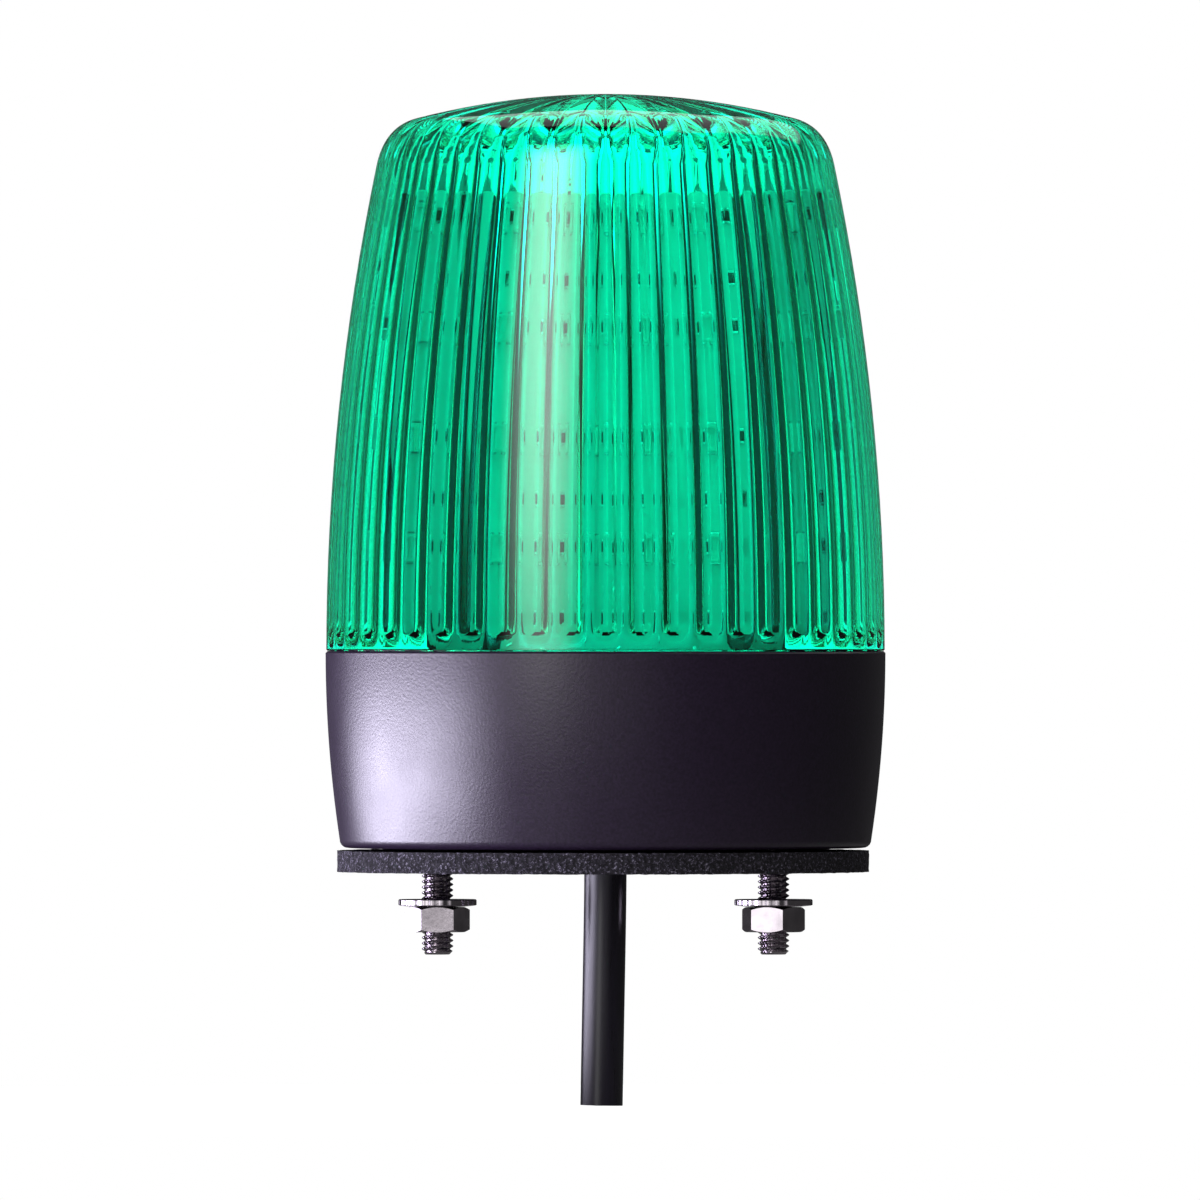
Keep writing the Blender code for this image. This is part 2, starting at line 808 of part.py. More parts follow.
def build_carrier(materials):
    low, high = PLATE_Z
    black = materials["black"]
    carrier = cylinder("tower_carrier", PLATE_R, low, high, black, PLATE_SEGMENTS)
    column = prism("column", carrier_outline(), high - MM, CARRIER_TOP_Z, None)
    join(carrier, column)
    bore = prism("column_bore", carrier_bore(0), low - MM, CARRIER_TOP_Z + MM, None)
    cut(carrier, bore)
    for index, (x, y) in enumerate(standoff_places()):
        hole = cylinder(
            f"plate_hole_{index}",
            SCREW_HOLE_R,
            low - MM,
            high + MM,
            segments=SMALL_SEGMENTS,
            location=(x, y, 0),
        )
        cut(carrier, hole)
    prism("tower_cap", carrier_bore(GAP), *CAP_Z, black)


def build_boards(materials):
    """Each board with its LEDs soldered on, as one piece."""
    height = BOARD_Z[1] - BOARD_Z[0]
    middle = (BOARD_Z[1] + BOARD_Z[0]) / 2
    sunk = 0.2 * MM  # how far a package is let into its board, to join it
    numbers = {True: 0, False: 0}
    for index in range(6):
        angle, wide = face_place(index)
        out, half = face_sizes(wide)
        numbers[wide] += 1
        label = f"{'wide' if wide else 'narrow'}_{numbers[wide]}"
        turn = angle + TAU / 4  # a face is modelled with its outside at -Y
        bm = bmesh.new()
        centre = (0, -(out - BOARD_THICKNESS / 2), middle)
        add_box(bm, centre, (half * 2, BOARD_THICKNESS, height), turn)
        board = finish(f"led_board_{label}", bm, materials["white_board"], smooth=False)
        leds = bmesh.new()
        size = (LED_SIZE[0], LED_SIZE[1] + sunk, LED_SIZE[2])
        depth = out - sunk + size[1] / 2
        for column in WIDE_COLUMNS if wide else NARROW_COLUMNS:
            for row in range(LED_ROWS):
                z = LED_TOP_ROW_Z - row * LED_PITCH
                add_box(leds, (column, -depth, z), size, turn)
        join(board, finish(f"leds_{label}", leds, None, smooth=False))


# ---------------------------------------------------------------- whole part


def make_materials():
    return {
        "black": make_material("black_plastic", (0.012, 0.011, 0.014), 0.5),
        "lens": make_material("green_lens", (0.0, 0.72, 0.4), 0.05, 0.0, 0.9),
        "rubber": make_material("black_rubber", (0.015, 0.015, 0.016), 0.8),
        "foam": make_material("foam_rubber", (0.02, 0.018, 0.022), 0.95),
        "steel": make_material("plated_steel", (0.62, 0.6, 0.6), 0.25, 1.0),
        "cable": make_material("cable_sheath", (0.02, 0.018, 0.025), 0.45),
        "lead_brown": make_material("lead_brown", (0.2, 0.07, 0.02), 0.4),
        "lead_blue": make_material("lead_blue", (0.02, 0.1, 0.5), 0.4),
        "white_plastic": make_material("white_nylon", (0.75, 0.75, 0.72), 0.5),
        "green_plastic": make_material("terminal_green", (0.05, 0.35, 0.12), 0.45),
        "white_board": make_material("white_board", (0.82, 0.83, 0.8), 0.45),
        "fr4": make_material("green_board", (0.02, 0.18, 0.08), 0.4),
        "chip": make_material("black_chip", (0.02, 0.02, 0.02), 0.4),
        "brass": make_material("brass", (0.7, 0.5, 0.2), 0.3, 1.0),
        "aluminium": make_material("aluminium_can", (0.8, 0.8, 0.8), 0.3, 1.0),
        "ferrite": make_material("ferrite", (0.05, 0.05, 0.055), 0.6),
    }


def main():
    clear_scene()
    materials = make_materials()
    build_base(materials)
    build_lens(materials)
    build_seal(materials)
    build_gasket(materials)
    for side in SIDES:
        build_stud(side, materials)
        build_washer(side, materials)
        build_nut(side, materials)
    build_cable(materials)
    build_driver(materials)
    build_terminal(materials)
    build_components(materials)
    build_carrier(materials)
    build_boards(materials)


main()
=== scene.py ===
"""Looks of a panel-mounted signal beacon: a ribbed green lens on a black base, with an LED tower."""

import math

import bmesh
import bpy
from bpy.props import FloatProperty, FloatVectorProperty, IntProperty, PointerProperty
from mathutils import Matrix, Vector


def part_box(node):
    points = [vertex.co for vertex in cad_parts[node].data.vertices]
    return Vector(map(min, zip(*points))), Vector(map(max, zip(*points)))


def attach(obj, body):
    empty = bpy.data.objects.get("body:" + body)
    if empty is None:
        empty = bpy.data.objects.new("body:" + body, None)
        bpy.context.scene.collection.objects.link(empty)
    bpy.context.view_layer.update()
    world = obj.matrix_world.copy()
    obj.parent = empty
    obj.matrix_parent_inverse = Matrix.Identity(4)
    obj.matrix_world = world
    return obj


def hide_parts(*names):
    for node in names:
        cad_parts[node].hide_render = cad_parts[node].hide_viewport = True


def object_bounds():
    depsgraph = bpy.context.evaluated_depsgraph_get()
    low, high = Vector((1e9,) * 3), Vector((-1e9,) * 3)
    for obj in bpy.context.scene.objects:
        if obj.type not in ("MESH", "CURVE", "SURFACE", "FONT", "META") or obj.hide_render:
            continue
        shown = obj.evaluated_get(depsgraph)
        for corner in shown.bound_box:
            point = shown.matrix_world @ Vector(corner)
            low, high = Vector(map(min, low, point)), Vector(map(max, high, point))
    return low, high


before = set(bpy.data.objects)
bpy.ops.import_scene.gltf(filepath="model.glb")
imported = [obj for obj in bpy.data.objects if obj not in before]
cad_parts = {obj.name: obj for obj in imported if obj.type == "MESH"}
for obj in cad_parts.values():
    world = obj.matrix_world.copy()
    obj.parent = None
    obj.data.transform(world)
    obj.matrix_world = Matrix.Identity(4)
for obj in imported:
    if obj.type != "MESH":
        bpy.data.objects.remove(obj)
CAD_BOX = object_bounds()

bl_info = {
    "name": "Signal Beacon",
    "version": (1, 0, 0),
    "blender": (4, 5, 0),
    "location": "3D View > Sidebar > Beacon",
    "description": "Builds the detailed pieces of a panel-mounted LED signal beacon",
    "category": "Add Mesh",
}

MM = 0.001
TAU = math.tau
SIDES = {"left": -1, "right": 1}

# The cable's route, in millimetres, from inside the base to its cut end
CABLE_ROUTE = [
    (0.0, 0.0, 12.5),
    (0.0, 0.0, 5.5),
    (-0.02, 0.0, -1.5),
    (-0.12, 0.0, -8.5),
    (-0.25, 0.0, -15.5),
    (-0.38, 0.0, -22.5),
    (-0.5, 0.0, -29.1),
]


# ---------------------------------------------------------------- sizes and colours


def linear(hex_colour):
    """An sRGB hex colour as linear red, green, blue and alpha."""
    channels = [int(hex_colour[start : start + 2], 16) / 255 for start in (1, 3, 5)]
    curve = [c / 12.92 if c <= 0.04045 else ((c + 0.055) / 1.055) ** 2.4 for c in channels]
    return (*curve, 1.0)


def length(name, value_mm, description):
    return FloatProperty(
        name=name,
        description=description,
        default=value_mm * MM,
        min=0.0,
        precision=5,
        subtype="DISTANCE",
        unit="LENGTH",
    )


def colour(name, hex_colour, description):
    return FloatVectorProperty(
        name=name,
        description=description,
        default=linear(hex_colour),
        size=4,
        min=0.0,
        max=1.0,
        subtype="COLOR",
    )


class LensSettings(bpy.types.PropertyGroup):
    radius: length("Radius", 34.9, "Radius of the lens at its lower edge")
    side_arc: length("Side arc", 293.0, "Radius of the arc that the side follows")
    seat: length("Seat", 27.71, "Height of the lower edge")
    wall: length("Wall", 2.2, "Thickness of the wall between the ribs")
    shoulder_low: length("Shoulder start", 88.4, "Height where the side turns in")
    shoulder_top: length("Shoulder end", 23.6, "Radius where the crown starts")
    top: length("Top", 97.3, "Height of the crown's middle")
    crown_radius: length("Crown arc", 92.0, "Radius of the arc that the crown follows")
    rib_count: IntProperty(name="Ribs", description="Ribs inside the wall", default=48, min=3)
    rib_depth: length("Rib depth", 1.0, "How far a rib stands in from the wall")
    rib_low: length("Rib foot", 30.1, "Height where the ribs start")
    rib_top: length("Rib tip", 92.3, "Height where the ribs come to a point")
    facet_depth: length("Facet depth", 1.0, "How far the valleys between the crown facets rise")
    tint: colour("Tint", "#00F7DC", "Colour that the wall gives to light passing through")


class BaseSettings(bpy.types.PropertyGroup):
    radius: length("Radius", 35.0, "Radius of the base at its rim")
    side_arc: length("Side arc", 157.0, "Radius of the arc that the side follows")
    rim: length("Rim", 27.68, "Height of the rim")
    bottom: length("Bottom", 3.1, "Height of the underside above the panel")
    corner: length("Corner", 1.0, "Radius of the lower corner")
    bore: length("Bore", 32.8, "Radius of the opening that takes the lens")
    tint: colour("Colour", "#2B2034", "Colour of the moulded black plastic")


class PanelSettings(bpy.types.PropertyGroup):
    gasket_radius: length("Gasket radius", 33.3, "Radius of the foam gasket")
    gasket_height: length("Gasket height", 2.8, "Thickness of the foam gasket")
    stud_x: length("Stud place", 21.0, "Distance of a stud from the middle")
    stud_radius: length("Stud radius", 2.0, "Outer radius of the stud's thread")
    pitch: length("Thread pitch", 0.7, "Rise of the stud's thread in one turn")
    stud_low: length("Stud reach", 10.25, "How far a stud stands below the panel plane")
    nut_flats: length("Nut", 7.0, "Size of the nut across its flats")
    washer_radius: length("Washer radius", 4.9, "Outer radius of the washer")
    cable_radius: length("Cable radius", 2.65, "Radius of the cable's sheath")
    metal: colour("Plating", "#C9C0C8", "Colour of the nickel plate")


class TowerSettings(bpy.types.PropertyGroup):
    turn: FloatProperty(
        name="Turn",
        description="Turn of the tower from square to the studs",
        default=math.radians(4.35),
        subtype="ANGLE",
        unit="ROTATION",
    )
    wide_face: length("Wide face", 16.8, "From the tower's middle to a wide board")
    narrow_face: length("Narrow face", 22.0, "From the tower's middle to a narrow board")
    wide_board: length("Wide board", 28.4, "Width of a wide board")
    narrow_board: length("Narrow board", 9.8, "Width of a narrow board")
    board: length("Board", 1.2, "Thickness of a board")
    top_row: length("Top row", 81.2, "Height of the top row of LEDs")
    row_pitch: length("Row pitch", 13.6, "Height between rows of LEDs")
    led_width: length("LED width", 2.8, "Width of one LED")
    led_height: length("LED height", 3.5, "Height of one LED")
    led_depth: length("LED depth", 1.9, "How far an LED stands out from its board")
    mask: colour("Solder mask", "#F4F6F2", "Colour of the boards")


class BeaconSettings(bpy.types.PropertyGroup):
    lens: PointerProperty(type=LensSettings)
    base: PointerProperty(type=BaseSettings)
    panel: PointerProperty(type=PanelSettings)
    tower: PointerProperty(type=TowerSettings)


# ---------------------------------------------------------------- modelling by operator


def object_mode():
    if bpy.context.mode != "OBJECT":
        bpy.ops.object.mode_set(mode="OBJECT")


def fresh():
    object_mode()
    bpy.ops.object.select_all(action="DESELECT")


def edit(obj):
    fresh()
    obj.select_set(True)
    bpy.context.view_layer.objects.active = obj
    bpy.ops.object.mode_set(mode="EDIT")
    bpy.ops.mesh.select_mode(type="VERT")
    bpy.ops.mesh.select_all(action="SELECT")


def settle(obj, name, smooth_angle=35.0):
    """Names a new piece, puts its place into its mesh and shades it."""
    fresh()
    obj.select_set(True)
    bpy.context.view_layer.objects.active = obj
    bpy.ops.object.transform_apply(location=True, rotation=True, scale=True)
    bpy.ops.object.shade_smooth_by_angle(angle=math.radians(smooth_angle))
    obj.name = name
    obj.data.name = name
    return obj


def close_ends(as_ring):
    """Bridges the two open ends of a turned wall, or fills the one that is open."""
    bpy.ops.mesh.select_all(action="DESELECT")
    bpy.ops.mesh.select_non_manifold()
    if as_ring:
        bpy.ops.mesh.bridge_edge_loops()
    else:
        bpy.ops.mesh.edge_face_add()
    bpy.ops.mesh.select_all(action="SELECT")
    bpy.ops.mesh.remove_doubles(threshold=1e-7)
    bpy.ops.mesh.normals_make_consistent(inside=False)


def turned(name, profile, segments, place=(0.0, 0.0), ring=True, smooth_angle=35.0):
    """A round piece: a circle extruded ring by ring through its (radius, z) points.

    A ring's profile closes on itself. Another piece is filled flat at its first point, and
    comes to a pole or a flat end at its last."""
    fresh()
    radius, z = profile[0]
    bpy.ops.mesh.primitive_circle_add(
        vertices=segments, radius=radius, location=(*place, z)
    )
    obj = bpy.context.object
    edit(obj)
    for next_radius, next_z in profile[1:]:
        step = (0, 0, next_z - z)
        bpy.ops.mesh.extrude_region_move(TRANSFORM_OT_translate={"value": step})
        if next_radius < 1e-6:
            bpy.ops.mesh.merge(type="CENTER")
            break
        scale = next_radius / radius
        centre = (*place, next_z)
        bpy.ops.transform.resize(value=(scale, scale, 1), center_override=centre)
        radius, z = next_radius, next_z
    else:
        if not ring:
            bpy.ops.mesh.edge_face_add()
    close_ends(ring)
    return settle(obj, name, smooth_angle)


def block(name, centre, size, bevel=0.0, segments=2):
    """A box with its edges eased."""
    fresh()
    bpy.ops.mesh.primitive_cube_add(size=1, location=centre, scale=size)
    obj = bpy.context.object
    if bevel:
        bpy.ops.object.transform_apply(location=True, rotation=True, scale=True)
        edit(obj)
        bpy.ops.mesh.bevel(offset=bevel, segments=segments, affect="EDGES")
    return settle(obj, name, 40.0)


def recess(obj, axis, sign, inset, depth, material_index):
    """Sinks a panel into the faces that look along one axis, and marks it as another material."""
    edit(obj)
    bpy.ops.mesh.select_mode(type="FACE")
    bpy.ops.mesh.select_all(action="DESELECT")
    mesh = bmesh.from_edit_mesh(obj.data)
    furthest = max(sign * face.calc_center_median()[axis] for face in mesh.faces)
    for face in mesh.faces:
        out = sign * face.calc_center_median()[axis]
        face.select = sign * face.normal[axis] > 0.9 and out > furthest - 1e-6
    bmesh.update_edit_mesh(obj.data)
    bpy.ops.mesh.inset(thickness=inset, depth=0)
    bpy.ops.mesh.inset(thickness=depth * 0.6, depth=-depth)
    mesh = bmesh.from_edit_mesh(obj.data)
    for face in mesh.faces:
        if face.select:
            face.material_index = material_index
    bmesh.update_edit_mesh(obj.data)
    object_mode()


def copies(source, name, moves):
    """One piece made of copies of another, each moved, with the source removed."""
    fresh()
    made = []
    for move in moves:
        copy = source.copy()
        copy.data = source.data.copy()
        copy.data.transform(move)
        bpy.context.scene.collection.objects.link(copy)
        copy.select_set(True)
        made.append(copy)
    bpy.context.view_layer.objects.active = made[0]
    if len(made) > 1:
        bpy.ops.object.join()
    joined = bpy.context.view_layer.objects.active
    joined.name = name
    joined.data.name = name
    bpy.data.objects.remove(source, do_unlink=True)
    return joined


def merged(pieces, name):
    """Several pieces joined into one."""
    fresh()
    for piece in pieces:
        piece.select_set(True)
    bpy.context.view_layer.objects.active = pieces[0]
    bpy.ops.object.join()
    joined = bpy.context.view_layer.objects.active
    joined.name = name
    joined.data.name = name
    return joined


def apply_modifier(obj, kind, **values):
    fresh()
    obj.select_set(True)
    bpy.context.view_layer.objects.active = obj
    modifier = obj.modifiers.new(kind.title(), kind)
    for key, value in values.items():
        setattr(modifier, key, value)
    bpy.ops.object.modifier_apply(modifier=modifier.name)


def dress(obj, *materials):
    obj.data.materials.clear()
    for material in materials:
        obj.data.materials.append(material)
    return obj


def belongs(obj, body, slot, *replaced):
    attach(obj, body)
    if replaced:
        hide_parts(*replaced)


# ---------------------------------------------------------------- materials


def per_mm(size_mm):
    """Texture scale for features of this size."""
    return 1 / (size_mm * MM)


def add(tree, kind, settings=None, links=None, **attributes):
    """Adds one shader node, with its input values and what feeds them."""
    node = tree.nodes.new(kind)
    for key, value in attributes.items():
        setattr(node, key, value)
    for key, value in (settings or {}).items():
        node.inputs[key].default_value = value
    for key, source in (links or {}).items():
        tree.links.new(source, node.inputs[key])
    return node


def start_material(name, **shader_values):
    """A material with one Principled shader and the Object coordinates."""
    material = bpy.data.materials.new(name)
    material.use_nodes = True
    tree = material.node_tree
    tree.nodes.clear()
    output = add(tree, "ShaderNodeOutputMaterial")
    shader = add(tree, "ShaderNodeBsdfPrincipled", shader_values)
    tree.links.new(shader.outputs["BSDF"], output.inputs["Surface"])
    coordinates = add(tree, "ShaderNodeTexCoord").outputs["Object"]
    return material, tree, shader, coordinates


def noise(tree, coordinates, size_mm, detail=2.0, roughness=0.5):
    settings = {"Scale": per_mm(size_mm), "Detail": detail, "Roughness": roughness}
    node = add(tree, "ShaderNodeTexNoise", settings, {"Vector": coordinates})
    return node.outputs["Fac"]


def ramp(tree, source, stops):
    """A colour ramp through (position, linear colour) stops."""
    node = add(tree, "ShaderNodeValToRGB", None, {"Fac": source})
    elements = node.color_ramp.elements
    while len(elements) < len(stops):
        elements.new(0.5)
    for element, (position, value) in zip(elements, stops):
        element.position = position
        element.color = value
    return node.outputs["Color"]


def spread(tree, source, low, high):
    """Maps 0..1 to low..high."""
    settings = {"To Min": low, "To Max": high}
    return add(tree, "ShaderNodeMapRange", settings, {"Value": source}).outputs["Result"]


def combined(tree, operation, first, second):
    """Two values put through one sum."""
    both = {0: first, 1: second}
    return add(tree, "ShaderNodeMath", None, both, operation=operation).outputs["Value"]


def bump(tree, shader, height, distance_mm, strength=1.0):
    settings = {"Distance": distance_mm * MM, "Strength": strength}
    node = add(tree, "ShaderNodeBump", settings, {"Height": height})
    tree.links.new(node.outputs["Normal"], shader.inputs["Normal"])


def shade(value, factor):
    return (*(min(1.0, channel * factor) for channel in value[:3]), 1.0)


def tinted_polycarbonate(tint):
    """Injection-moulded clear green polycarbonate: glassy, with a faint flow ripple."""
    material, tree, shader, place = start_material(
        "tinted_polycarbonate",
        **{
            "Base Color": tuple(tint),
            "Transmission Weight": 1.0,
            "IOR": 1.586,
            "Roughness": 0.02,
        },
    )
    ripple = noise(tree, place, 9.0, 1.0)
    bump(tree, shader, ripple, 0.02, 0.25)
    smear = noise(tree, place, 4.0, 3.0)
    tree.links.new(spread(tree, smear, 0.012, 0.04), shader.inputs["Roughness"])
    # Red is lost in a millimetre or so, blue in a centimetre, and green in a few.
    dye = {"Color": (0.0, 0.965, 0.93, 1.0), "Density": 800.0}
    depth = add(tree, "ShaderNodeVolumeAbsorption", dye).outputs["Volume"]
    output = next(node for node in tree.nodes if node.type == "OUTPUT_MATERIAL")
    tree.links.new(depth, output.inputs["Volume"])
    return material


def spark_textured_plastic(tint):
    """Black glass-filled plastic from a spark-eroded mould: a fine even grain, satin in light."""
    material, tree, shader, place = start_material("spark_textured_plastic", IOR=1.53)
    grain = noise(tree, place, 0.34, 2.0, 0.5)
    broad = noise(tree, place, 6.0, 2.0)
    stops = [(0.3, shade(tint, 0.75)), (0.7, shade(tint, 1.35))]
    tree.links.new(ramp(tree, grain, stops), shader.inputs["Base Color"])
    tree.links.new(spread(tree, broad, 0.27, 0.36), shader.inputs["Roughness"])
    bump(tree, shader, grain, 0.05, 0.4)
    return material


def smooth_black_plastic():
    """Black ABS from a polished mould, for the tower's carrier."""
    material, tree, shader, place = start_material("smooth_black_abs", IOR=1.54)
    grain = noise(tree, place, 0.8, 2.0)
    stops = [(0.3, linear("#141416")), (0.7, linear("#1E1E21"))]
    tree.links.new(ramp(tree, grain, stops), shader.inputs["Base Color"])
    tree.links.new(spread(tree, grain, 0.34, 0.46), shader.inputs["Roughness"])
    bump(tree, shader, grain, 0.02, 0.4)
    return material


def cellular_rubber():
    """Closed-cell foam rubber, cut so that its cells are open: dull and pitted, with pale specks
    painted in as glints of light caught by the cells.
    """
    material, tree, shader, place = start_material("cellular_rubber", IOR=1.5)
    cells = add(
        tree,
        "ShaderNodeTexVoronoi",
        {"Scale": per_mm(0.75), "Randomness": 1.0},
        {"Vector": place},
    ).outputs["Distance"]
    grit_and_glints = noise(tree, place, 0.35, 4.0, 0.8)
    # The pale stops paint glints of light on the open cells over the foam's near-black tone; the same
    # noise also shapes the bump.
    stops = [
        (0.0, linear("#0A080C")),
        (0.5, linear("#1B1820")),
        (0.58, linear("#453F50")),
        (0.67, linear("#B5AFC4")),
    ]
    tree.links.new(ramp(tree, grit_and_glints, stops), shader.inputs["Base Color"])
    tree.links.new(spread(tree, cells, 0.75, 0.95), shader.inputs["Roughness"])
    mixed = combined(tree, "MULTIPLY", cells, grit_and_glints)
    bump(tree, shader, mixed, 0.6, 1.0)
    return material


def nickel_plate(metal):
    """Bright nickel plate on turned steel: mirror-like, with fine tool marks round the axis."""
    material, tree, shader, place = start_material("nickel_plated_steel", Metallic=1.0)
    marks = noise(tree, place, 0.5, 3.0, 0.6)
    cloud = noise(tree, place, 2.5, 2.0)
    stops = [(0.3, shade(metal, 0.72)), (0.65, tuple(metal))]
    tree.links.new(ramp(tree, cloud, stops), shader.inputs["Base Color"])
    tree.links.new(spread(tree, marks, 0.08, 0.2), shader.inputs["Roughness"])
    bump(tree, shader, marks, 0.01, 0.5)
    return material


def pvc_sheath():
    """Extruded black PVC: satin, with faint lines drawn along the cable."""
    material, tree, shader, place = start_material("extruded_pvc", IOR=1.53)
    stretched = add(
        tree, "ShaderNodeMapping", {"Scale": (1.0, 1.0, 0.06)}, {"Vector": place}
    ).outputs["Vector"]
    lines = noise(tree, stretched, 0.5, 3.0, 0.6)
    stops = [(0.3, linear("#1A1622")), (0.7, linear("#241F2E"))]
    tree.links.new(ramp(tree, lines, stops), shader.inputs["Base Color"])
    tree.links.new(spread(tree, lines, 0.24, 0.34), shader.inputs["Roughness"])
    bump(tree, shader, lines, 0.02, 0.4)
    return material


def plain_finish(name, dark, light, grain_mm, low, high, shader_input, value):
    """A finish with a fine two-tone grain, and roughness from low to high."""
    material, tree, shader, place = start_material(name, **{shader_input: value})
    grain = noise(tree, place, grain_mm, 3.0, 0.6)
    stops = [(0.32, linear(dark)), (0.68, linear(light))]
    tree.links.new(ramp(tree, grain, stops), shader.inputs["Base Color"])
    tree.links.new(spread(tree, grain, low, high), shader.inputs["Roughness"])
    bump(tree, shader, grain, 0.01, 0.5)
    return material


def solder_mask(mask):
    """White solder mask over glass-epoxy board: glossy, with the weave just showing."""
    material, tree, shader, place = start_material("white_solder_mask", IOR=1.5)
    weave = add(
        tree,
        "ShaderNodeTexWave",
        {"Scale": per_mm(3.0), "Distortion": 0.6, "Detail": 1.0},
        {"Vector": place},
        bands_direction="Z",
    ).outputs["Fac"]
    cloud = noise(tree, place, 5.0, 2.0)
    stops = [(0.3, shade(mask, 0.93)), (0.7, tuple(mask))]
    tree.links.new(ramp(tree, cloud, stops), shader.inputs["Base Color"])
    tree.links.new(spread(tree, weave, 0.28, 0.36), shader.inputs["Roughness"])
    bump(tree, shader, weave, 0.01, 0.3)
    return material


# Each plain finish: its name, dark and light tone, grain in millimetres, lowest and highest
# roughness, and the one shader value that sets it apart
PLAIN_FINISHES = {
    # Ethylene rubber, moulded: almost black and dull.
    "rubber": ("moulded_epdm", "#101011", "#1B1B1C", 0.6, 0.6, 0.8, "IOR", 1.5),
    # White thermoplastic LED body, matte.
    "led_body": ("led_body_ppa", "#E9EBE6", "#F6F7F3", 0.5, 0.4, 0.5, "IOR", 1.5),
    # Clear silicone over a green-emitting chip, unlit: pale and glossy.
    "led_window": ("silicone_window", "#B9C9A2", "#D3DDBB", 0.6, 0.08, 0.16, "IOR", 1.41),
    # Reflowed tin solder on the pads and the end caps of chip parts.
    "solder": ("reflowed_tin", "#B9BABC", "#D8D9DA", 0.3, 0.22, 0.35, "Metallic", 1.0),
    # Thick-film chip resistor: dark glaze on ceramic.
    "chip": ("resistor_glaze", "#15171A", "#24272B", 0.3, 0.25, 0.4, "IOR", 1.55),
    # White nylon of the cable tie.
    "nylon": ("nylon_66", "#DEDED8", "#EFEFEA", 0.7, 0.4, 0.5, "IOR", 1.53),
    # Coloured PVC of the two leads.
    "brown": ("brown_pvc", "#5E3419", "#70411F", 0.5, 0.35, 0.45, "IOR", 1.53),
    "blue": ("blue_pvc", "#1B4AA8", "#2459C2", 0.5, 0.35, 0.45, "IOR", 1.53),
    # Stranded copper seen at the cable's cut end.
    "copper": ("bare_copper", "#B8693C", "#D98A58", 0.15, 0.25, 0.4, "Metallic", 1.0),
    # Green solder mask of the driver board.
    "board": ("green_solder_mask", "#0D4A2A", "#125C36", 1.2, 0.25, 0.4, "IOR", 1.5),
    # Green polyamide of the terminal block.
    "terminal": ("terminal_pa", "#2A7A45", "#338D52", 0.6, 0.4, 0.5, "IOR", 1.53),
    # Drawn aluminium can.
    "can": ("drawn_aluminium", "#BDBEC2", "#D9DADD", 0.4, 0.22, 0.35, "Metallic", 1.0),
    # Sintered ferrite, matte dark grey.
    "ferrite": ("sintered_ferrite", "#2A2B2D", "#3C3D40", 0.3, 0.6, 0.8, "IOR", 1.6),
    # Moulded epoxy of chips and connectors.
    "epoxy": ("moulded_epoxy", "#141414", "#1F1F20", 0.4, 0.35, 0.5, "IOR", 1.55),
    # Turned brass of the standoffs.
    "brass": ("turned_brass", "#B08D45", "#D0AE62", 0.3, 0.2, 0.32, "Metallic", 1.0),
}


def make_materials(settings):
    """All finishes by name. Typical indexes of refraction and roughness are the start."""
    return {
        "lens": tinted_polycarbonate(settings.lens.tint),
        "base": spark_textured_plastic(settings.base.tint),
        "carrier": smooth_black_plastic(),
        "foam": cellular_rubber(),
        "metal": nickel_plate(settings.panel.metal),
        "sheath": pvc_sheath(),
        "mask": solder_mask(settings.tower.mask),
        **{key: plain_finish(*values) for key, values in PLAIN_FINISHES.items()},
    }


MATERIALS = {}


def finish_named(name):
    """The material of that name in MATERIALS, all made at first use."""
    if not MATERIALS:
        MATERIALS.update(make_materials(bpy.context.scene.beacon))
    return MATERIALS[name]


# ---------------------------------------------------------------- lens


def arc_radius(radius, arc, seat, z):
    """Radius at height z of a side that is an arc, upright at the seat."""
    return radius - (z - seat) ** 2 / (2 * arc)


def lens_outside(lens):
    """Side, shoulder and crown of the lens as (radius, z), from the seat to near the axis."""
    side_rows, corner_rows, crown_rows = 16, 12, 12
    points = []
    for row in range(side_rows + 1):
        z = lens.seat + (lens.shoulder_low - lens.seat) * row / side_rows
        points.append((arc_radius(lens.radius, lens.side_arc, lens.seat, z), z))
    start = Vector(points[-1])
    end = Vector((lens.shoulder_top, lens.top - lens.shoulder_top**2 / (2 * lens.crown_radius)))
    start_slope = Vector((-(lens.shoulder_low - lens.seat) / lens.side_arc, 1))
    end_slope = Vector((-1, lens.shoulder_top / lens.crown_radius))
    reach = (end - start).cross(end_slope) / start_slope.cross(end_slope)
    corner = start + start_slope * reach
    for row in range(1, corner_rows + 1):
        t = row / corner_rows
        points.append(tuple(start * (1 - t) ** 2 + corner * 2 * t * (1 - t) + end * t**2))
    for row in range(1, crown_rows):
        radius = lens.shoulder_top * (1 - row / crown_rows)
        points.append((radius, lens.top - radius**2 / (2 * lens.crown_radius)))
    points.append((0.0, lens.top))
    return points


def inward(points, depth):
    """The profile set in by depth, square to itself."""
    inner = []
    for index, point in enumerate(points):
        before = Vector(points[max(index - 1, 0)])
        after = Vector(points[min(index + 1, len(points) - 1)])
        along = (after - before).normalized()
        set_in = Vector(point) + Vector((-along.y, along.x)) * depth
        inner.append((max(set_in.x, 0.0), set_in.y))
    inner[-1] = (0.0, points[-1][1] - depth)
    return inner


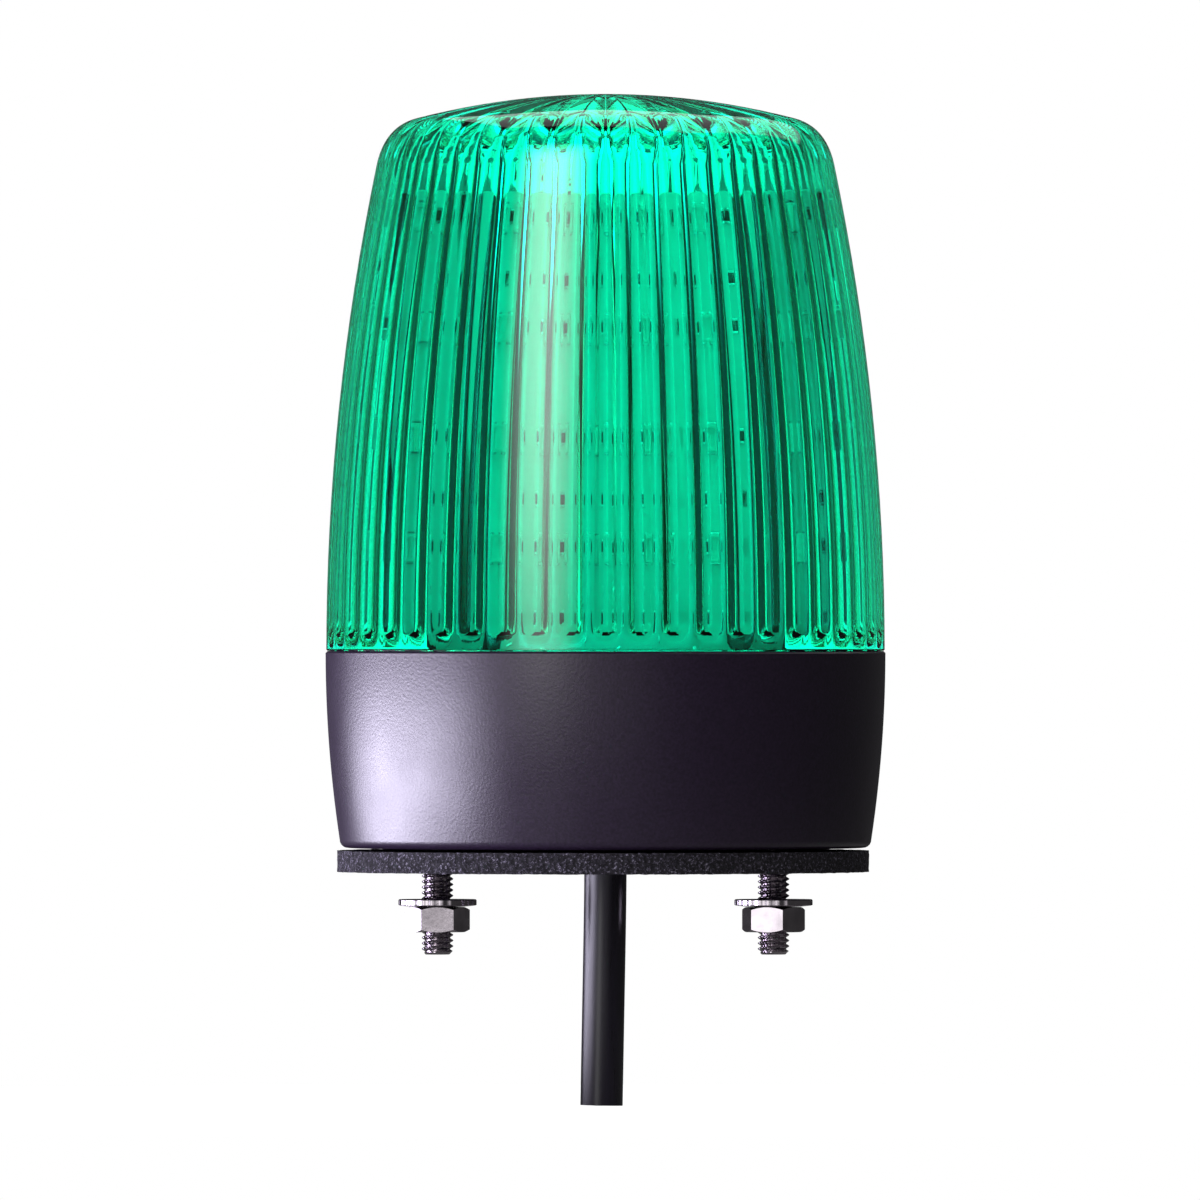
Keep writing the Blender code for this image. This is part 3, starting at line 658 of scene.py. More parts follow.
def lens_inside(lens, outside):
    """The inner wall, from the joint up to the axis, with rows close together where it is shaped."""
    inner = inward(outside, lens.wall)
    foot_z = lens.seat + 0.25 * MM
    foot = (arc_radius(lens.radius, lens.side_arc, lens.seat, foot_z) - lens.wall, foot_z)
    ends = []
    for z in (lens.rib_low - 0.45 * MM, lens.rib_low):
        ends.append((arc_radius(lens.radius, lens.side_arc, lens.seat, z) - lens.wall, z))
    rows = [foot, *ends] + [point for point in inner if point[1] > lens.rib_low + 0.8 * MM]
    filled = []
    for start, end in zip(rows, rows[1:]):
        filled.append(start)
        parts = 3 if start[1] > lens.rib_top - 6 * MM and start[0] > 10 * MM else 1
        for part in range(1, parts):
            share = part / parts
            filled.append(tuple(Vector(start) * (1 - share) + Vector(end) * share))
    return [*filled, rows[-1]]


def rib_profile(phase, width):
    """Height of a broad rib with sloped flanks, as a share of its depth, over phase -0.5..0.5."""
    half, crest = 0.42 * width, 0.12 * width
    if half < 1e-4:
        return 0.0
    return min(1.0, max(0.0, (half - abs(phase)) / (half - crest)))


def facet_rise(radius, phase, lens):
    """How far the inside of the crown rises beside a flat facet, or falls at its middle.

    There are two rings of facets, each falling to a step at its outer edge."""
    outer, middle, inner = 26.6 * MM, 21.0 * MM, 3.0 * MM
    if radius > outer or radius < inner:
        return 0.0
    tilt = 2.2 * abs(2 * phase) - 1.0
    if radius > middle:
        return lens.facet_depth * tilt * (outer - radius) / (outer - middle)
    return lens.facet_depth * 0.7 * tilt * (radius - inner) / (middle - inner)


def outer_radius(outside, z):
    """Radius of the outer surface at height z."""
    for (start_r, start_z), (end_r, end_z) in zip(outside, outside[1:]):
        if start_z <= z <= end_z:
            return start_r + (end_r - start_r) * (z - start_z) / (end_z - start_z)
    return 0.0


def shape_inside(obj, lens, outside):
    """Raises the ribs on the inner wall and cuts the facets into the crown."""
    edit(obj)
    mesh = bmesh.from_edit_mesh(obj.data)
    rib_share = TAU / lens.rib_count
    facet_share = rib_share * 2
    front = -TAU / 4
    crown_r = 26.7 * MM
    for vert in mesh.verts:
        radius, z = vert.co.xy.length, vert.co.z
        inner = radius < outer_radius(outside, z) - lens.wall * 0.4
        if radius < 1e-6 or z < lens.rib_low - 0.01 * MM or not inner:
            continue
        angle = math.atan2(vert.co.y, vert.co.x) - front
        if radius < crown_r:
            phase = (angle / facet_share + 0.5) % 1 - 0.5
            vert.co.z += facet_rise(radius, phase, lens)
        if z < lens.rib_top:
            phase = (angle / rib_share + 0.5) % 1 - 0.5
            width = min(1.0, (lens.rib_top - z) / (5 * MM))
            vert.co.xy *= 1 - lens.rib_depth * rib_profile(phase, width) / radius
    bmesh.update_edit_mesh(obj.data)
    object_mode()


class BEACON_OT_lens(bpy.types.Operator):
    """Builds the clear green lens, ribbed inside, with its spigot and thread lugs"""

    bl_idname = "beacon.lens"
    bl_label = "Ribbed Lens"

    def execute(self, context):
        lens = context.scene.beacon.lens
        outside = lens_outside(lens)
        inside = lens_inside(lens, outside)
        spigot_r, bore_r = 31.0 * MM, 29.0 * MM
        spigot_low = 19.2 * MM
        skirt = [
            inside[0],
            (bore_r, inside[0][1] - 0.1 * MM),
            (bore_r, spigot_low + 0.3 * MM),
            (bore_r + 0.3 * MM, spigot_low),
            (spigot_r - 0.3 * MM, spigot_low),
            (spigot_r, spigot_low + 0.3 * MM),
            (spigot_r, lens.seat),
            (outside[0][0] - 0.15 * MM, lens.seat),
            (outside[0][0], lens.seat + 0.15 * MM),
        ]
        profile = [(max(r, 0.0), z) for r, z in inside[::-1] + skirt[1:] + outside[1:]]
        profile[0] = (0.02 * MM, profile[0][1])
        segments = lens.rib_count * 10
        obj = turned("ribbed_lens", profile, segments, ring=False, smooth_angle=28.0)
        shape_inside(obj, lens, outside)
        obj = merged([obj, *thread_lugs("lens_lug", 30.9, 32.3, 20.5, 36.0)], "ribbed_lens")
        dress(obj, finish_named("lens"))
        belongs(obj, "lens", "green_lens", "lens_dome")
        seal_profile = []
        seal_r, seal_z, half_width, half_height = 31.9 * MM, 26.8 * MM, 0.58 * MM, 0.68 * MM
        for step in range(16):
            turn = TAU * step / 16
            flat = 1 / (abs(math.cos(turn)) ** 3 + abs(math.sin(turn)) ** 3) ** (1 / 3)
            offset = Vector((math.cos(turn) * half_width, math.sin(turn) * half_height)) * flat
            seal_profile.append((seal_r + offset.x, seal_z + offset.y))
        seal = turned("lens_seal_ring", seal_profile, 144, smooth_angle=60.0)
        dress(seal, finish_named("rubber"))
        belongs(seal, "lens_ring", "black_rubber", "lens_seal")
        return {"FINISHED"}


def thread_lugs(name, inner_mm, outer_mm, low_mm, arc_degrees):
    """Three ridges of a quick thread, each spun from its end face, climbing clockwise from above."""
    lead, height, steps = 18.0 * MM, 1.8 * MM, 16
    arc = math.radians(arc_degrees)
    climb = lead * arc / TAU
    lugs = []
    for index in range(3):
        fresh()
        middle = ((inner_mm + outer_mm) / 2 * MM, 0, low_mm * MM + height / 2 - climb / 2)
        bpy.ops.mesh.primitive_plane_add(size=1, location=middle, rotation=(TAU / 4, 0, 0))
        obj = bpy.context.object
        obj.scale = ((outer_mm - inner_mm) * MM, height, 1)
        bpy.ops.object.transform_apply(location=True, rotation=True, scale=True)
        edit(obj)
        bpy.ops.mesh.spin(
            steps=steps,
            angle=arc,
            center=(0, 0, 0),
            axis=(0, 0, 1),
            dupli=False,
        )
        mesh = bmesh.from_edit_mesh(obj.data)
        for vert in mesh.verts:
            turn = math.atan2(vert.co.y, vert.co.x)
            vert.co.z += climb * abs(turn) / arc
        bmesh.update_edit_mesh(obj.data)
        if obj.data.polygons and min(vert.co.y for vert in mesh.verts) < -0.001:
            bpy.ops.transform.mirror(constraint_axis=(False, True, False))
        bpy.ops.mesh.select_all(action="SELECT")
        bpy.ops.mesh.normals_make_consistent(inside=False)
        object_mode()
        obj.rotation_euler[2] = index * TAU / 3 - arc / 2
        lugs.append(settle(obj, f"{name}_{index + 1}"))
    return lugs


# ---------------------------------------------------------------- base and gasket


class BEACON_OT_base(bpy.types.Operator):
    """Builds the black base: its shell, stud bosses and thread lugs"""

    bl_idname = "beacon.base"
    bl_label = "Base Housing"

    def execute(self, context):
        base = context.scene.beacon.base
        side_rows, corner_rows = 14, 5
        edge = 0.25 * MM
        side = []
        corner_z = base.bottom + base.corner
        for row in range(side_rows + 1):
            z = base.rim - edge + (corner_z - base.rim + edge) * row / side_rows
            side.append((arc_radius(base.radius, base.side_arc, base.rim, z), z))
        corner_r = side[-1][0] - base.corner
        corner = []
        for row in range(1, corner_rows + 1):
            turn = TAU / 4 * row / corner_rows
            corner.append(
                (corner_r + base.corner * math.cos(turn), corner_z - base.corner * math.sin(turn))
            )
        floor, hole_r, floor_r, bore_end = 5.6 * MM, 4.6 * MM, 31.0 * MM, 19.0 * MM
        inside = [
            (hole_r, base.bottom),
            (hole_r, floor),
            (floor_r - 0.8 * MM, floor),
            (floor_r, floor + 0.8 * MM),
            (base.bore, bore_end),
            (base.bore, base.rim - edge),
            (base.bore + edge, base.rim),
            (base.radius - edge, base.rim),
        ]
        shell = turned("base_shell", side + corner + inside, 192, smooth_angle=40.0)
        pieces = [shell]
        boss_r, boss_top, pocket_r = 6.2 * MM, 9.6 * MM, 4.4 * MM
        sunk = 0.4 * MM
        stud_x = context.scene.beacon.panel.stud_x
        for side_name, sign in SIDES.items():
            boss = [
                (pocket_r, floor + sunk),
                (pocket_r, boss_top),
                (boss_r - 0.3 * MM, boss_top),
                (boss_r, boss_top - 0.3 * MM),
                (boss_r, floor - sunk),
                (pocket_r, floor - sunk),
            ]
            pieces.append(turned(f"boss_{side_name}", boss, 48, (sign * stud_x, 0.0)))
        pieces += thread_lugs("base_lug", 31.5, 32.9, 22.6, 44.0)
        obj = merged(pieces, "base_shell")
        dress(obj, finish_named("base"))
        belongs(obj, "body", "black_plastic", "base_housing")
        return {"FINISHED"}


class BEACON_OT_gasket(bpy.types.Operator):
    """Builds the foam gasket, with its cut edge pitted by open cells"""

    bl_idname = "beacon.gasket"
    bl_label = "Foam Gasket"

    def execute(self, context):
        panel = context.scene.beacon.panel
        low, high = 0.06 * MM, panel.gasket_height
        hole_r, rows = 5.3 * MM, 9
        radius = panel.gasket_radius
        side = [(radius, high - (high - low) * row / rows) for row in range(rows + 1)]
        flat = [radius - step * MM for step in (1.0, 2.0, 4.0, 8.0, 16.0)]
        under = [(r, low) for r in flat] + [(hole_r, low)]
        over = [(hole_r, high)] + [(r, high) for r in flat[::-1]]
        shift = -0.3 * MM
        obj = turned("foam_gasket", side + under + over, 512, (shift, 0.0), smooth_angle=80.0)
        pits = bpy.data.textures.new("foam_pits", "CLOUDS")
        pits.noise_scale = 0.9 * MM
        pits.noise_depth = 2
        apply_modifier(obj, "DISPLACE", texture=pits, strength=0.22 * MM, mid_level=0.85)
        dress(obj, finish_named("foam"))
        belongs(obj, "body", "foam_rubber", "mounting_gasket")
        return {"FINISHED"}


# ---------------------------------------------------------------- cable


def smooth_route(points, per_span):
    """Points in metres on a smooth curve through the route's own points."""
    route = [Vector(point) * MM for point in points]
    ends = [route[0] * 2 - route[1], *route, route[-1] * 2 - route[-2]]
    found = []
    for before, start, end, after in zip(ends, ends[1:], ends[2:], ends[3:]):
        for step in range(per_span):
            t = step / per_span
            cubic = (
                start * 2
                + (end - before) * t
                + (before * 2 - start * 5 + end * 4 - after) * t**2
                + (start * 3 - before - end * 3 + after) * t**3
            )
            found.append(cubic / 2)
    return [*found, route[-1]]


def cord_curve(name, points, radius, material, per_span, resolution=8):
    curve = bpy.data.curves.new(name, "CURVE")
    curve.dimensions = "3D"
    curve.bevel_depth = radius
    curve.bevel_resolution = resolution
    curve.use_fill_caps = True
    spline = curve.splines.new("POLY")
    route = smooth_route(points, per_span)
    spline.points.add(len(route) - 1)
    for target, point in zip(spline.points, route):
        target.co = (*point, 1)
    spline.use_smooth = True
    curve.materials.append(material)
    obj = bpy.data.objects.new(name, curve)
    bpy.context.scene.collection.objects.link(obj)
    return obj


class BEACON_OT_cable(bpy.types.Operator):
    """Lays the cable down through the base, with the two cores showing at its cut end"""

    bl_idname = "beacon.cable"
    bl_label = "Cable"

    def execute(self, context):
        radius = context.scene.beacon.panel.cable_radius
        cable = cord_curve("cable_sheath", CABLE_ROUTE, radius, finish_named("sheath"), 3, 10)
        belongs(cable, "body", "cable_sheath", "cable")
        end_x, _, end_z = CABLE_ROUTE[-1]
        core_y, core_r, copper_r, stub = 1.05 * MM, 0.95 * MM, 0.45 * MM, 0.6 * MM
        cores = []
        for name, sign in (("brown", 1), ("blue", -1)):
            place = (end_x * MM, sign * core_y)
            face_z = end_z * MM - 0.02 * MM
            insulation = [
                (copper_r, face_z),
                (core_r, face_z),
                (core_r, face_z + stub),
                (copper_r, face_z + stub),
            ]
            core = turned(f"core_{name}", insulation, 32, place)
            dress(core, finish_named(name))
            belongs(core, "body", f"lead_{name}")
            strands = turned(
                f"copper_{name}",
                [(0.43 * MM, face_z + 0.5 * MM), (0.43 * MM, face_z), (0.2 * MM, face_z - 0.01 * MM)],
                24,
                place,
                ring=False,
            )
            dress(strands, finish_named("copper"))
            belongs(strands, "body", f"lead_{name}")
            cores += [core, strands]
        return {"FINISHED"}


# ---------------------------------------------------------------- panel hardware


def hex_nut(name, flats, low, high, hole_r, place, turn):
    """A chamfered hexagon nut: a hexagon turned down at both ends, with a countersunk bore."""
    corner_r = flats / math.sqrt(3)
    steps = 12
    count = 6 * steps
    rise = corner_r - flats / 2
    sink = 0.28 * MM
    outline = [
        (hole_r, low + sink),
        (hole_r + sink, low),
        (flats / 2 - 0.1 * MM, low),
        (corner_r, low + rise * 0.62),
        (corner_r, (low + high) / 2),
        (corner_r, high - rise * 0.62),
        (flats / 2 - 0.1 * MM, high),
        (hole_r + sink, high),
        (hole_r, high - sink),
    ]
    obj = turned(name, outline, count, (0.0, 0.0), smooth_angle=30.0)
    edit(obj)
    mesh = bmesh.from_edit_mesh(obj.data)
    for vert in mesh.verts:
        radius = vert.co.xy.length
        around = math.atan2(vert.co.y, vert.co.x)
        flat_r = flats / 2 / math.cos((around + TAU / 12) % (TAU / 6) - TAU / 12)
        if radius > flat_r:
            cone = (radius - flat_r) * 0.62
            vert.co.xy *= flat_r / radius
            if vert.co.z < (low + high) / 2 - 0.3 * MM:
                vert.co.z -= min(cone, vert.co.z - low)
            elif vert.co.z > (low + high) / 2 + 0.3 * MM:
                vert.co.z += min(cone, high - vert.co.z)
    bmesh.update_edit_mesh(obj.data)
    object_mode()
    obj.rotation_euler[2] = turn
    obj.location = (*place, 0)
    return settle(obj, name, 30.0)


def threaded_rod(name, radius, pitch, low, high, place):
    """A rod with a real helical thread: one turned tooth profile, climbing one pitch a turn."""
    steps = 48
    depth = pitch * 0.6
    fresh()
    bpy.ops.mesh.primitive_circle_add(vertices=steps, radius=radius)
    obj = bpy.context.object
    edit(obj)
    levels = 8
    rise = pitch / levels
    for _ in range(int((high - low) / rise)):
        bpy.ops.mesh.extrude_region_move(TRANSFORM_OT_translate={"value": (0, 0, rise)})
    mesh = bmesh.from_edit_mesh(obj.data)
    chamfer = 0.5 * MM
    for vert in mesh.verts:
        around = math.atan2(vert.co.y, vert.co.x)
        phase = (vert.co.z / pitch - around / TAU) % 1
        tooth = abs(2 * phase - 1)
        cut = depth * min(1.0, max(0.0, tooth * 1.35 - 0.18))
        fade = min(1.0, max(0.0, (high - low - 1.5 * MM - vert.co.z) / (1 * MM)))
        taper = max(0.0, chamfer - vert.co.z)
        vert.co.xy *= (radius - max(cut * fade, taper)) / radius
    bmesh.update_edit_mesh(obj.data)
    for _ in range(2):
        bpy.ops.mesh.select_all(action="DESELECT")
        bpy.ops.mesh.select_non_manifold()
        bpy.ops.mesh.fill_holes(sides=0)
    bpy.ops.mesh.select_all(action="SELECT")
    bpy.ops.mesh.normals_make_consistent(inside=False)
    object_mode()
    obj.location = (*place, low)
    return settle(obj, name, 30.0)


class BEACON_OT_fixings(bpy.types.Operator):
    """Builds the two threaded studs with their serrated washers and nuts"""

    bl_idname = "beacon.fixings"
    bl_label = "Studs and Nuts"

    def execute(self, context):
        panel = context.scene.beacon.panel
        metal = finish_named("metal")
        turns = {"left": math.radians(30), "right": math.radians(16)}
        thread_r = panel.stud_radius
        washer_top, washer_low = -3.34 * MM, -4.25 * MM
        nut_top, nut_low = -4.32 * MM, -7.45 * MM
        hole_r = thread_r + 0.06 * MM
        for side, sign in SIDES.items():
            place = (sign * panel.stud_x, 0.0)
            rod = threaded_rod(
                f"rod_{side}", thread_r - 0.02 * MM, panel.pitch, -panel.stud_low, 6.5 * MM, place
            )
            head = hex_nut(
                f"head_{side}", panel.nut_flats - 0.02 * MM, 6.4 * MM, 9.2 * MM,
                1.2 * MM, place, math.radians(30),
            )
            stud = merged([rod, head], f"threaded_stud_{side}")
            dress(stud, metal)
            belongs(stud, "body", "plated_steel", f"stud_{side}")
            rim = 0.2 * MM
            dish = [
                (hole_r, washer_top),
                (hole_r, washer_low),
                (panel.nut_flats / 2, washer_low),
                (panel.washer_radius - rim, washer_low + 0.12 * MM),
                (panel.washer_radius, washer_low + rim),
                (panel.washer_radius, washer_top - 0.12 * MM),
                (panel.washer_radius - 0.12 * MM, washer_top),
            ]
            washer = turned(f"serrated_washer_{side}", dish, 96, place)
            edit(washer)
            mesh = bmesh.from_edit_mesh(washer.data)
            for vert in mesh.verts:
                arm = vert.co.xy - Vector(place)
                step = round(math.atan2(arm.y, arm.x) / TAU * 96) % 4
                if arm.length > panel.washer_radius - 0.2 * MM and step == 0:
                    vert.co.xy = Vector(place) + arm * 0.965
            bmesh.update_edit_mesh(washer.data)
            object_mode()
            dress(washer, metal)
            belongs(washer, f"{side}_washer", "plated_steel", f"washer_{side}")
            nut = hex_nut(
                f"hex_nut_{side}", panel.nut_flats, nut_low, nut_top, hole_r, place, turns[side]
            )
            dress(nut, metal)
            belongs(nut, f"{side}_nut", "plated_steel", f"nut_{side}")
        return {"FINISHED"}


# ---------------------------------------------------------------- LED tower


def on_face(turn, along, out, z):
    """Moves a piece modelled at the origin, facing -Y, to its place on a face of the tower."""
    return Matrix.Rotation(turn, 4, "Z") @ Matrix.Translation((along, -out, z))


def led_package(tower):
    """One LED: a white body with a round-cornered window and a tin foot at each end."""
    size = (tower.led_width, tower.led_depth, tower.led_height)
    body = block("led", (0, -size[1] / 2, 0), size, 0.12 * MM)
    recess(body, 1, -1, 0.35 * MM, 0.25 * MM, 1)
    feet = []
    for end in (-1, 1):
        centre = (0, -0.3 * MM, end * (tower.led_height / 2 + 0.02 * MM))
        foot = block("foot", centre, (2.2 * MM, 0.6 * MM, 0.5 * MM), 0.08 * MM)
        feet.append(dress(foot, finish_named("solder")))
    dress(body, finish_named("led_body"), finish_named("led_window"), finish_named("solder"))
    return merged([body, *feet], "led")


def chip_resistor():
    """One chip resistor: a glazed body between two tinned ends."""
    body = block("chip", (0, -0.25 * MM, 0), (1.1 * MM, 0.5 * MM, 1.3 * MM), 0.05 * MM)
    dress(body, finish_named("chip"))
    ends = []
    for end in (-1, 1):
        centre = (0, -0.27 * MM, end * 0.8 * MM)
        cap = block("cap", centre, (1.2 * MM, 0.54 * MM, 0.36 * MM), 0.05 * MM)
        ends.append(dress(cap, finish_named("solder")))
    return merged([body, *ends], "chip")


class BEACON_OT_tower(bpy.types.Operator):
    """Builds the six boards of the LED tower with their LEDs, chip parts and solder pads"""

    bl_idname = "beacon.tower"
    bl_label = "LED Tower"

    def execute(self, context):
        tower = context.scene.beacon.tower
        rows, clear = 4, 0.02 * MM
        row_heights = [tower.top_row - row * tower.row_pitch for row in range(rows)]
        columns = {"wide": (-11.4 * MM, -1.9 * MM, 7.6 * MM), "narrow": (-1.0 * MM,)}
        faces = {"wide": tower.wide_face, "narrow": tower.narrow_face}
        widths = {"wide": tower.wide_board, "narrow": tower.narrow_board}
        for index in range(6):
            kind = "narrow" if index % 2 else "wide"
            label = f"{kind}_{index // 2 + 1}"
            node = f"led_board_{label}"
            low, high = (corner.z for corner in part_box(node))
            turn = tower.turn + index * TAU / 6
            out = faces[kind]
            centre = (0, -(out - tower.board / 2), (low + high) / 2)
            size = (widths[kind], tower.board, high - low)
            board = block(f"board_{label}", centre, size, 0.12 * MM)
            board.data.transform(Matrix.Rotation(turn, 4, "Z"))
            dress(board, finish_named("mask"))
            belongs(board, "body", "white_board", node)
            surface = out - clear
            led_moves = [
                on_face(turn, column, surface, z) for column in columns[kind] for z in row_heights
            ]
            leds = copies(led_package(tower), f"leds_{label}", led_moves)
            belongs(leds, "body", "white_board")
            beside, small_row = 2.85 * MM, 7.3 * MM
            chip_moves = []
            for column in columns[kind]:
                for row, z in enumerate(row_heights):
                    chip_moves.append(on_face(turn, column + beside, surface, z + 0.2 * MM))
                    if row % 2:
                        low_z = z + small_row - 1.2 * MM
                        chip_moves.append(on_face(turn, column + beside, surface, low_z))
                foot_z = row_heights[-1] - 8.6 * MM
                chip_moves.append(on_face(turn, column + beside, surface, foot_z))
            chips = copies(chip_resistor(), f"chips_{label}", chip_moves)
            belongs(chips, "body", "white_board")
            pad = block("pad", (0, -0.02 * MM, 0), (0.5 * MM, 0.06 * MM, 1.1 * MM), 0.02 * MM)
            dress(pad, finish_named("solder"))
            pad_moves = [
                on_face(turn, column + offset * MM, surface, row_heights[-1] - drop * MM)
                for column in columns[kind]
                for offset, drop in ((-2.1, 6.2), (-2.1, 10.9), (2.2, 5.2), (2.2, 12.4))
            ]
            pads = copies(pad, f"pads_{label}", pad_moves)
            belongs(pads, "body", "white_board")
        return {"FINISHED"}


class BEACON_OT_finishes(bpy.types.Operator):
    """Gives the carried-over parts their finishes"""

    bl_idname = "beacon.finishes"
    bl_label = "Finishes"

    def execute(self, context):
        by_finish = {
            "carrier": ["tower_carrier", "tower_cap"],
            "rubber": ["cable_grommet"],
            "nylon": ["cable_tie"],
            "brown": ["lead_brown"],
            "blue": ["lead_blue"],
            "board": ["driver_board"],
            "terminal": ["terminal_block"],
            "can": ["filter_capacitor"],
            "ferrite": ["choke"],
            "epoxy": ["controller_chip", "tower_connector"],
            "brass": [f"standoff_{number}" for number in (1, 2, 3)],
            "metal": [f"carrier_screw_{number}" for number in (1, 2, 3)]
            + [f"terminal_screw_{number}" for number in (1, 2)],
        }
        for finish, nodes in by_finish.items():
            for node in nodes:
                dress(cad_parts[node], finish_named(finish))
        return {"FINISHED"}


# ---------------------------------------------------------------- stage


def soft_edge(lamp):
    """Lets a soft box fade towards its edges, from a bright middle."""
    lamp.data.use_nodes = True
    tree = lamp.data.node_tree
    place = add(tree, "ShaderNodeNewGeometry").outputs["Parametric"]
    parts = add(tree, "ShaderNodeSeparateXYZ", None, {"Vector": place}).outputs
    shares = []
    for axis in ("X", "Y"):
        middle = add(
            tree, "ShaderNodeMath", {1: 0.5}, {0: parts[axis]}, operation="SUBTRACT"
        ).outputs["Value"]
        arm = add(tree, "ShaderNodeMath", None, {0: middle}, operation="ABSOLUTE").outputs["Value"]
        settings = {"From Min": 0.5, "From Max": 0.05, "To Min": 0.0, "To Max": 1.0}
        fade = add(
            tree, "ShaderNodeMapRange", settings, {"Value": arm}, interpolation_type="SMOOTHSTEP"
        )
        shares.append(fade.outputs["Result"])
    both = combined(tree, "MULTIPLY", *shares)
    strength = spread(tree, both, 0.0, 2.5)
    tree.links.new(strength, tree.nodes["Emission"].inputs["Strength"])


def area_light(
    name, azimuth, elevation, distance, width, height, power, target_z, tone="#FFFFFF", soft=False
):
    """A soft box at a place round the object, facing it. Azimuth 0 is the viewer's side."""
    turn = math.radians(azimuth)
    lift = math.radians(elevation)
    flat = distance * math.cos(lift)
    place = Vector((flat * math.sin(turn), -flat * math.cos(turn), distance * math.sin(lift)))
    bpy.ops.object.light_add(type="AREA", location=place + Vector((0, 0, target_z)))
    lamp = bpy.context.object
    lamp.name = name
    lamp.data.shape = "RECTANGLE"
    lamp.data.size = width
    lamp.data.size_y = height
    lamp.data.energy = power
    lamp.data.color = linear(tone)[:3]
    lamp.rotation_euler = (-place).to_track_quat("-Z", "Y").to_euler()
    if soft:
        soft_edge(lamp)
    return lamp


def flag_off(lamp, obj):
    """Keeps one light off one piece, as a black flag does in a studio."""
    shaded = bpy.data.collections.new(f"{lamp.name}_flag")
    shaded.objects.link(obj)
    shaded.collection_objects[0].light_linking.link_state = "EXCLUDE"
    lamp.light_linking.receiver_collection = shaded


def paint_world(scene):
    """A white background: dim in reflections, but for a low strip, and bright through the lens."""
    seen, through, beside, ambient, strip = 1.0, 2.8, 0.08, 0.05, 1.2
    world = bpy.data.worlds.new("studio")
    scene.world = world
    world.use_nodes = True
    tree = world.node_tree
    path = add(tree, "ShaderNodeLightPath").outputs
    facing = add(tree, "ShaderNodeTexCoord").outputs["Generated"]
    parts = add(tree, "ShaderNodeSeparateXYZ", None, {"Vector": facing}).outputs
    side = add(tree, "ShaderNodeMath", None, {0: parts["X"]}, operation="ABSOLUTE").outputs["Value"]
    over, under, left, front, ahead = (
        add(
            tree,
            "ShaderNodeMapRange",
            {"From Min": start, "From Max": end},
            {"Value": source},
            interpolation_type="SMOOTHSTEP",
        ).outputs["Result"]
        for source, start, end in (
            (parts["Z"], 0.008, -0.012),
            (parts["Z"], -0.12, -0.06),
            (parts["X"], 0.6, 0.0),
            (parts["Y"], 0.6, 0.1),
            (side, 0.75, 0.3),
        )
    )
    band = over
    for share in (under, left, front):
        band = combined(tree, "MULTIPLY", band, share)
    strength = spread(tree, band, ambient, ambient + strip)
    inside = combined(
        tree, "MULTIPLY", path["Is Transmission Ray"], spread(tree, ahead, beside, through)
    )
    strength = combined(tree, "MAXIMUM", strength, inside)
    strength = combined(
        tree, "MAXIMUM", strength, spread(tree, path["Is Camera Ray"], 0.0, seen)
    )
    background = tree.nodes["Background"]
    background.inputs["Color"].default_value = linear("#FFFFFF")
    tree.links.new(strength, background.inputs["Strength"])


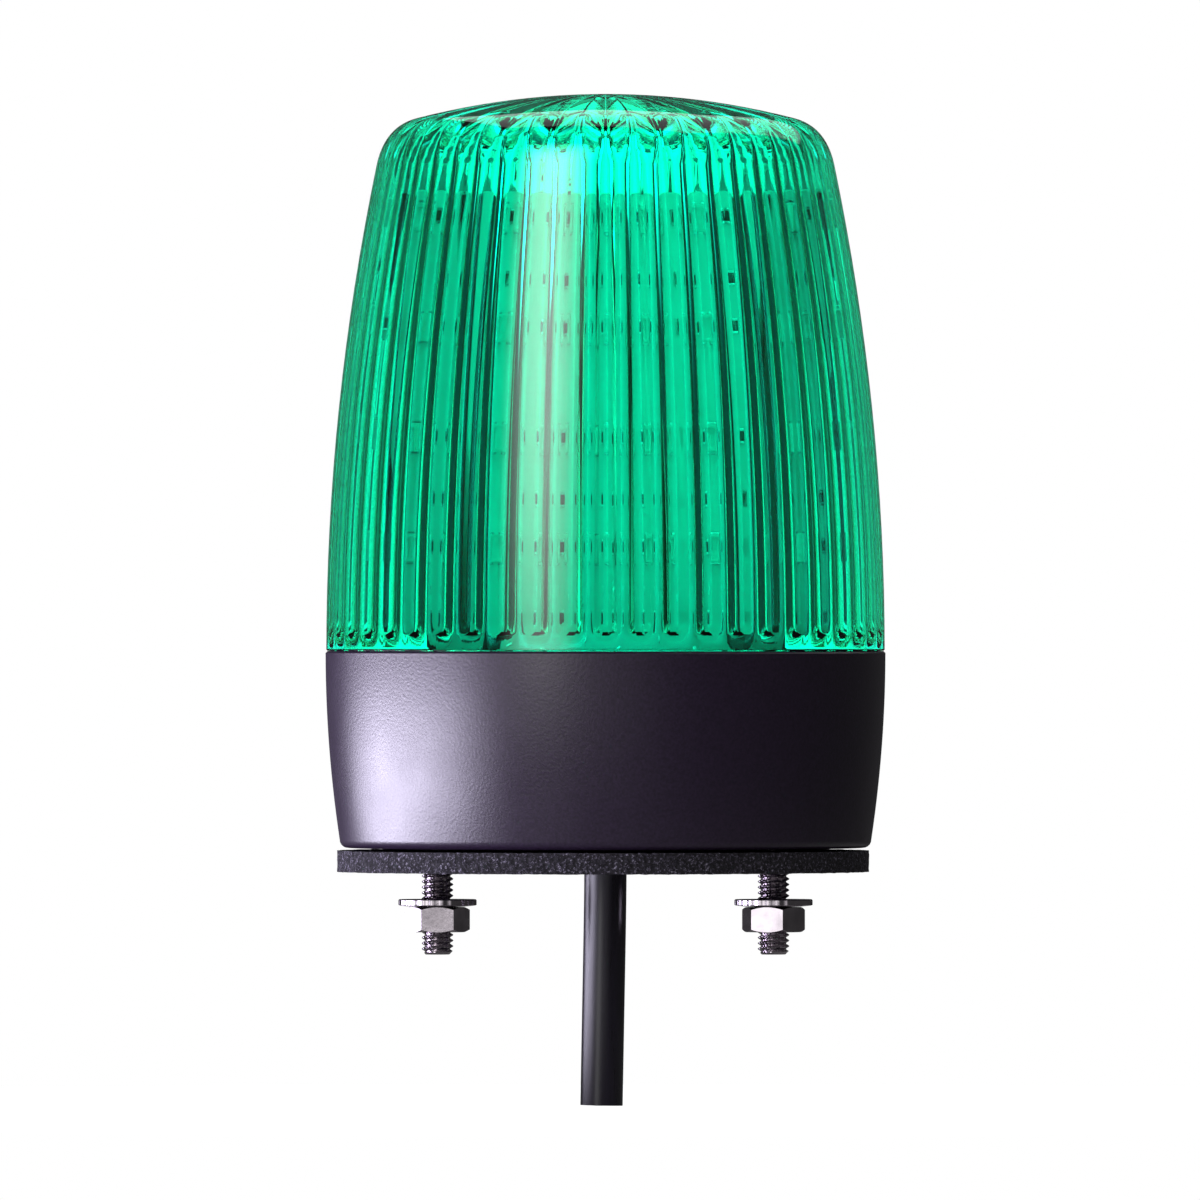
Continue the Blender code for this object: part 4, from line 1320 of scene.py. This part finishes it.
class BEACON_OT_stage(bpy.types.Operator):
    """Sets the camera level with the beacon, a pale floor, soft lights and the background"""

    bl_idname = "beacon.stage"
    bl_label = "Stage"

    def execute(self, context):
        fresh()
        view_width, distance, sensor = 0.150, 3.0, 36.0
        bpy.ops.object.camera_add(location=(-0.69 * MM, -distance, 34.06 * MM))
        camera = bpy.context.object
        camera.rotation_euler = (TAU / 4, 0, 0)
        camera.data.sensor_width = sensor
        camera.data.lens = sensor * distance / view_width
        context.scene.camera = camera
        low, high = CAD_BOX
        middle_z = (low[2] + high[2]) / 2
        bpy.ops.mesh.primitive_circle_add(
            vertices=128, radius=0.15, fill_type="NGON", location=(0, 0, low[2] - 0.4 * MM)
        )
        floor = bpy.context.object
        floor.name = "studio_floor"
        floor_material, tree, shader, _ = start_material("painted_floor", Roughness=0.9)
        shader.inputs["Base Color"].default_value = linear("#8A8A8A")
        shader.inputs["Emission Color"].default_value = linear("#FFFFFF")
        straight = add(tree, "ShaderNodeLightPath").outputs["Is Camera Ray"]
        glow = spread(tree, straight, 0.05, 1.0)
        tree.links.new(glow, shader.inputs["Emission Strength"])
        dress(floor, floor_material)
        area_light("key_box", -27, 21, 0.9, 0.62, 1.1, 5.0, middle_z, soft=True)
        left_box = area_light(
            "left_box", -90, -10, 0.8, 1.7, 0.24, 16.0, middle_z, "#EBE5FF", soft=True
        )
        flag_off(left_box, bpy.data.objects["ribbed_lens"])
        area_light("top_box", 160, 58, 1.4, 1.6, 1.6, 6.0, middle_z)
        paint_world(context.scene)
        context.scene.view_settings.view_transform = "Standard"
        return {"FINISHED"}


# ---------------------------------------------------------------- add-on


STEPS = (
    BEACON_OT_cable,
    BEACON_OT_base,
    BEACON_OT_gasket,
    BEACON_OT_fixings,
    BEACON_OT_tower,
    BEACON_OT_finishes,
    BEACON_OT_lens,
    BEACON_OT_stage,
)


class BEACON_PT_panel(bpy.types.Panel):
    """Lists the beacon's pieces and their sizes"""

    bl_idname = "BEACON_PT_panel"
    bl_label = "Signal Beacon"
    bl_space_type = "VIEW_3D"
    bl_region_type = "UI"
    bl_category = "Beacon"

    def draw(self, context):
        beacon = context.scene.beacon
        for step in STEPS:
            self.layout.operator(step.bl_idname)
        for group in (beacon.lens, beacon.base, beacon.panel, beacon.tower):
            box = self.layout.box()
            for prop in group.__annotations__:
                box.prop(group, prop)


CLASSES = (
    LensSettings,
    BaseSettings,
    PanelSettings,
    TowerSettings,
    BeaconSettings,
    *STEPS,
    BEACON_PT_panel,
)


def register():
    for cls in CLASSES:
        bpy.utils.register_class(cls)
    bpy.types.Scene.beacon = PointerProperty(type=BeaconSettings)


def unregister():
    del bpy.types.Scene.beacon
    for cls in reversed(CLASSES):
        bpy.utils.unregister_class(cls)


def main():
    register()
    for step in STEPS:
        group, operator = step.bl_idname.split(".")
        getattr(getattr(bpy.ops, group), operator)()
    bpy.context.view_layer.update()


if __name__ == "__main__":
    main()
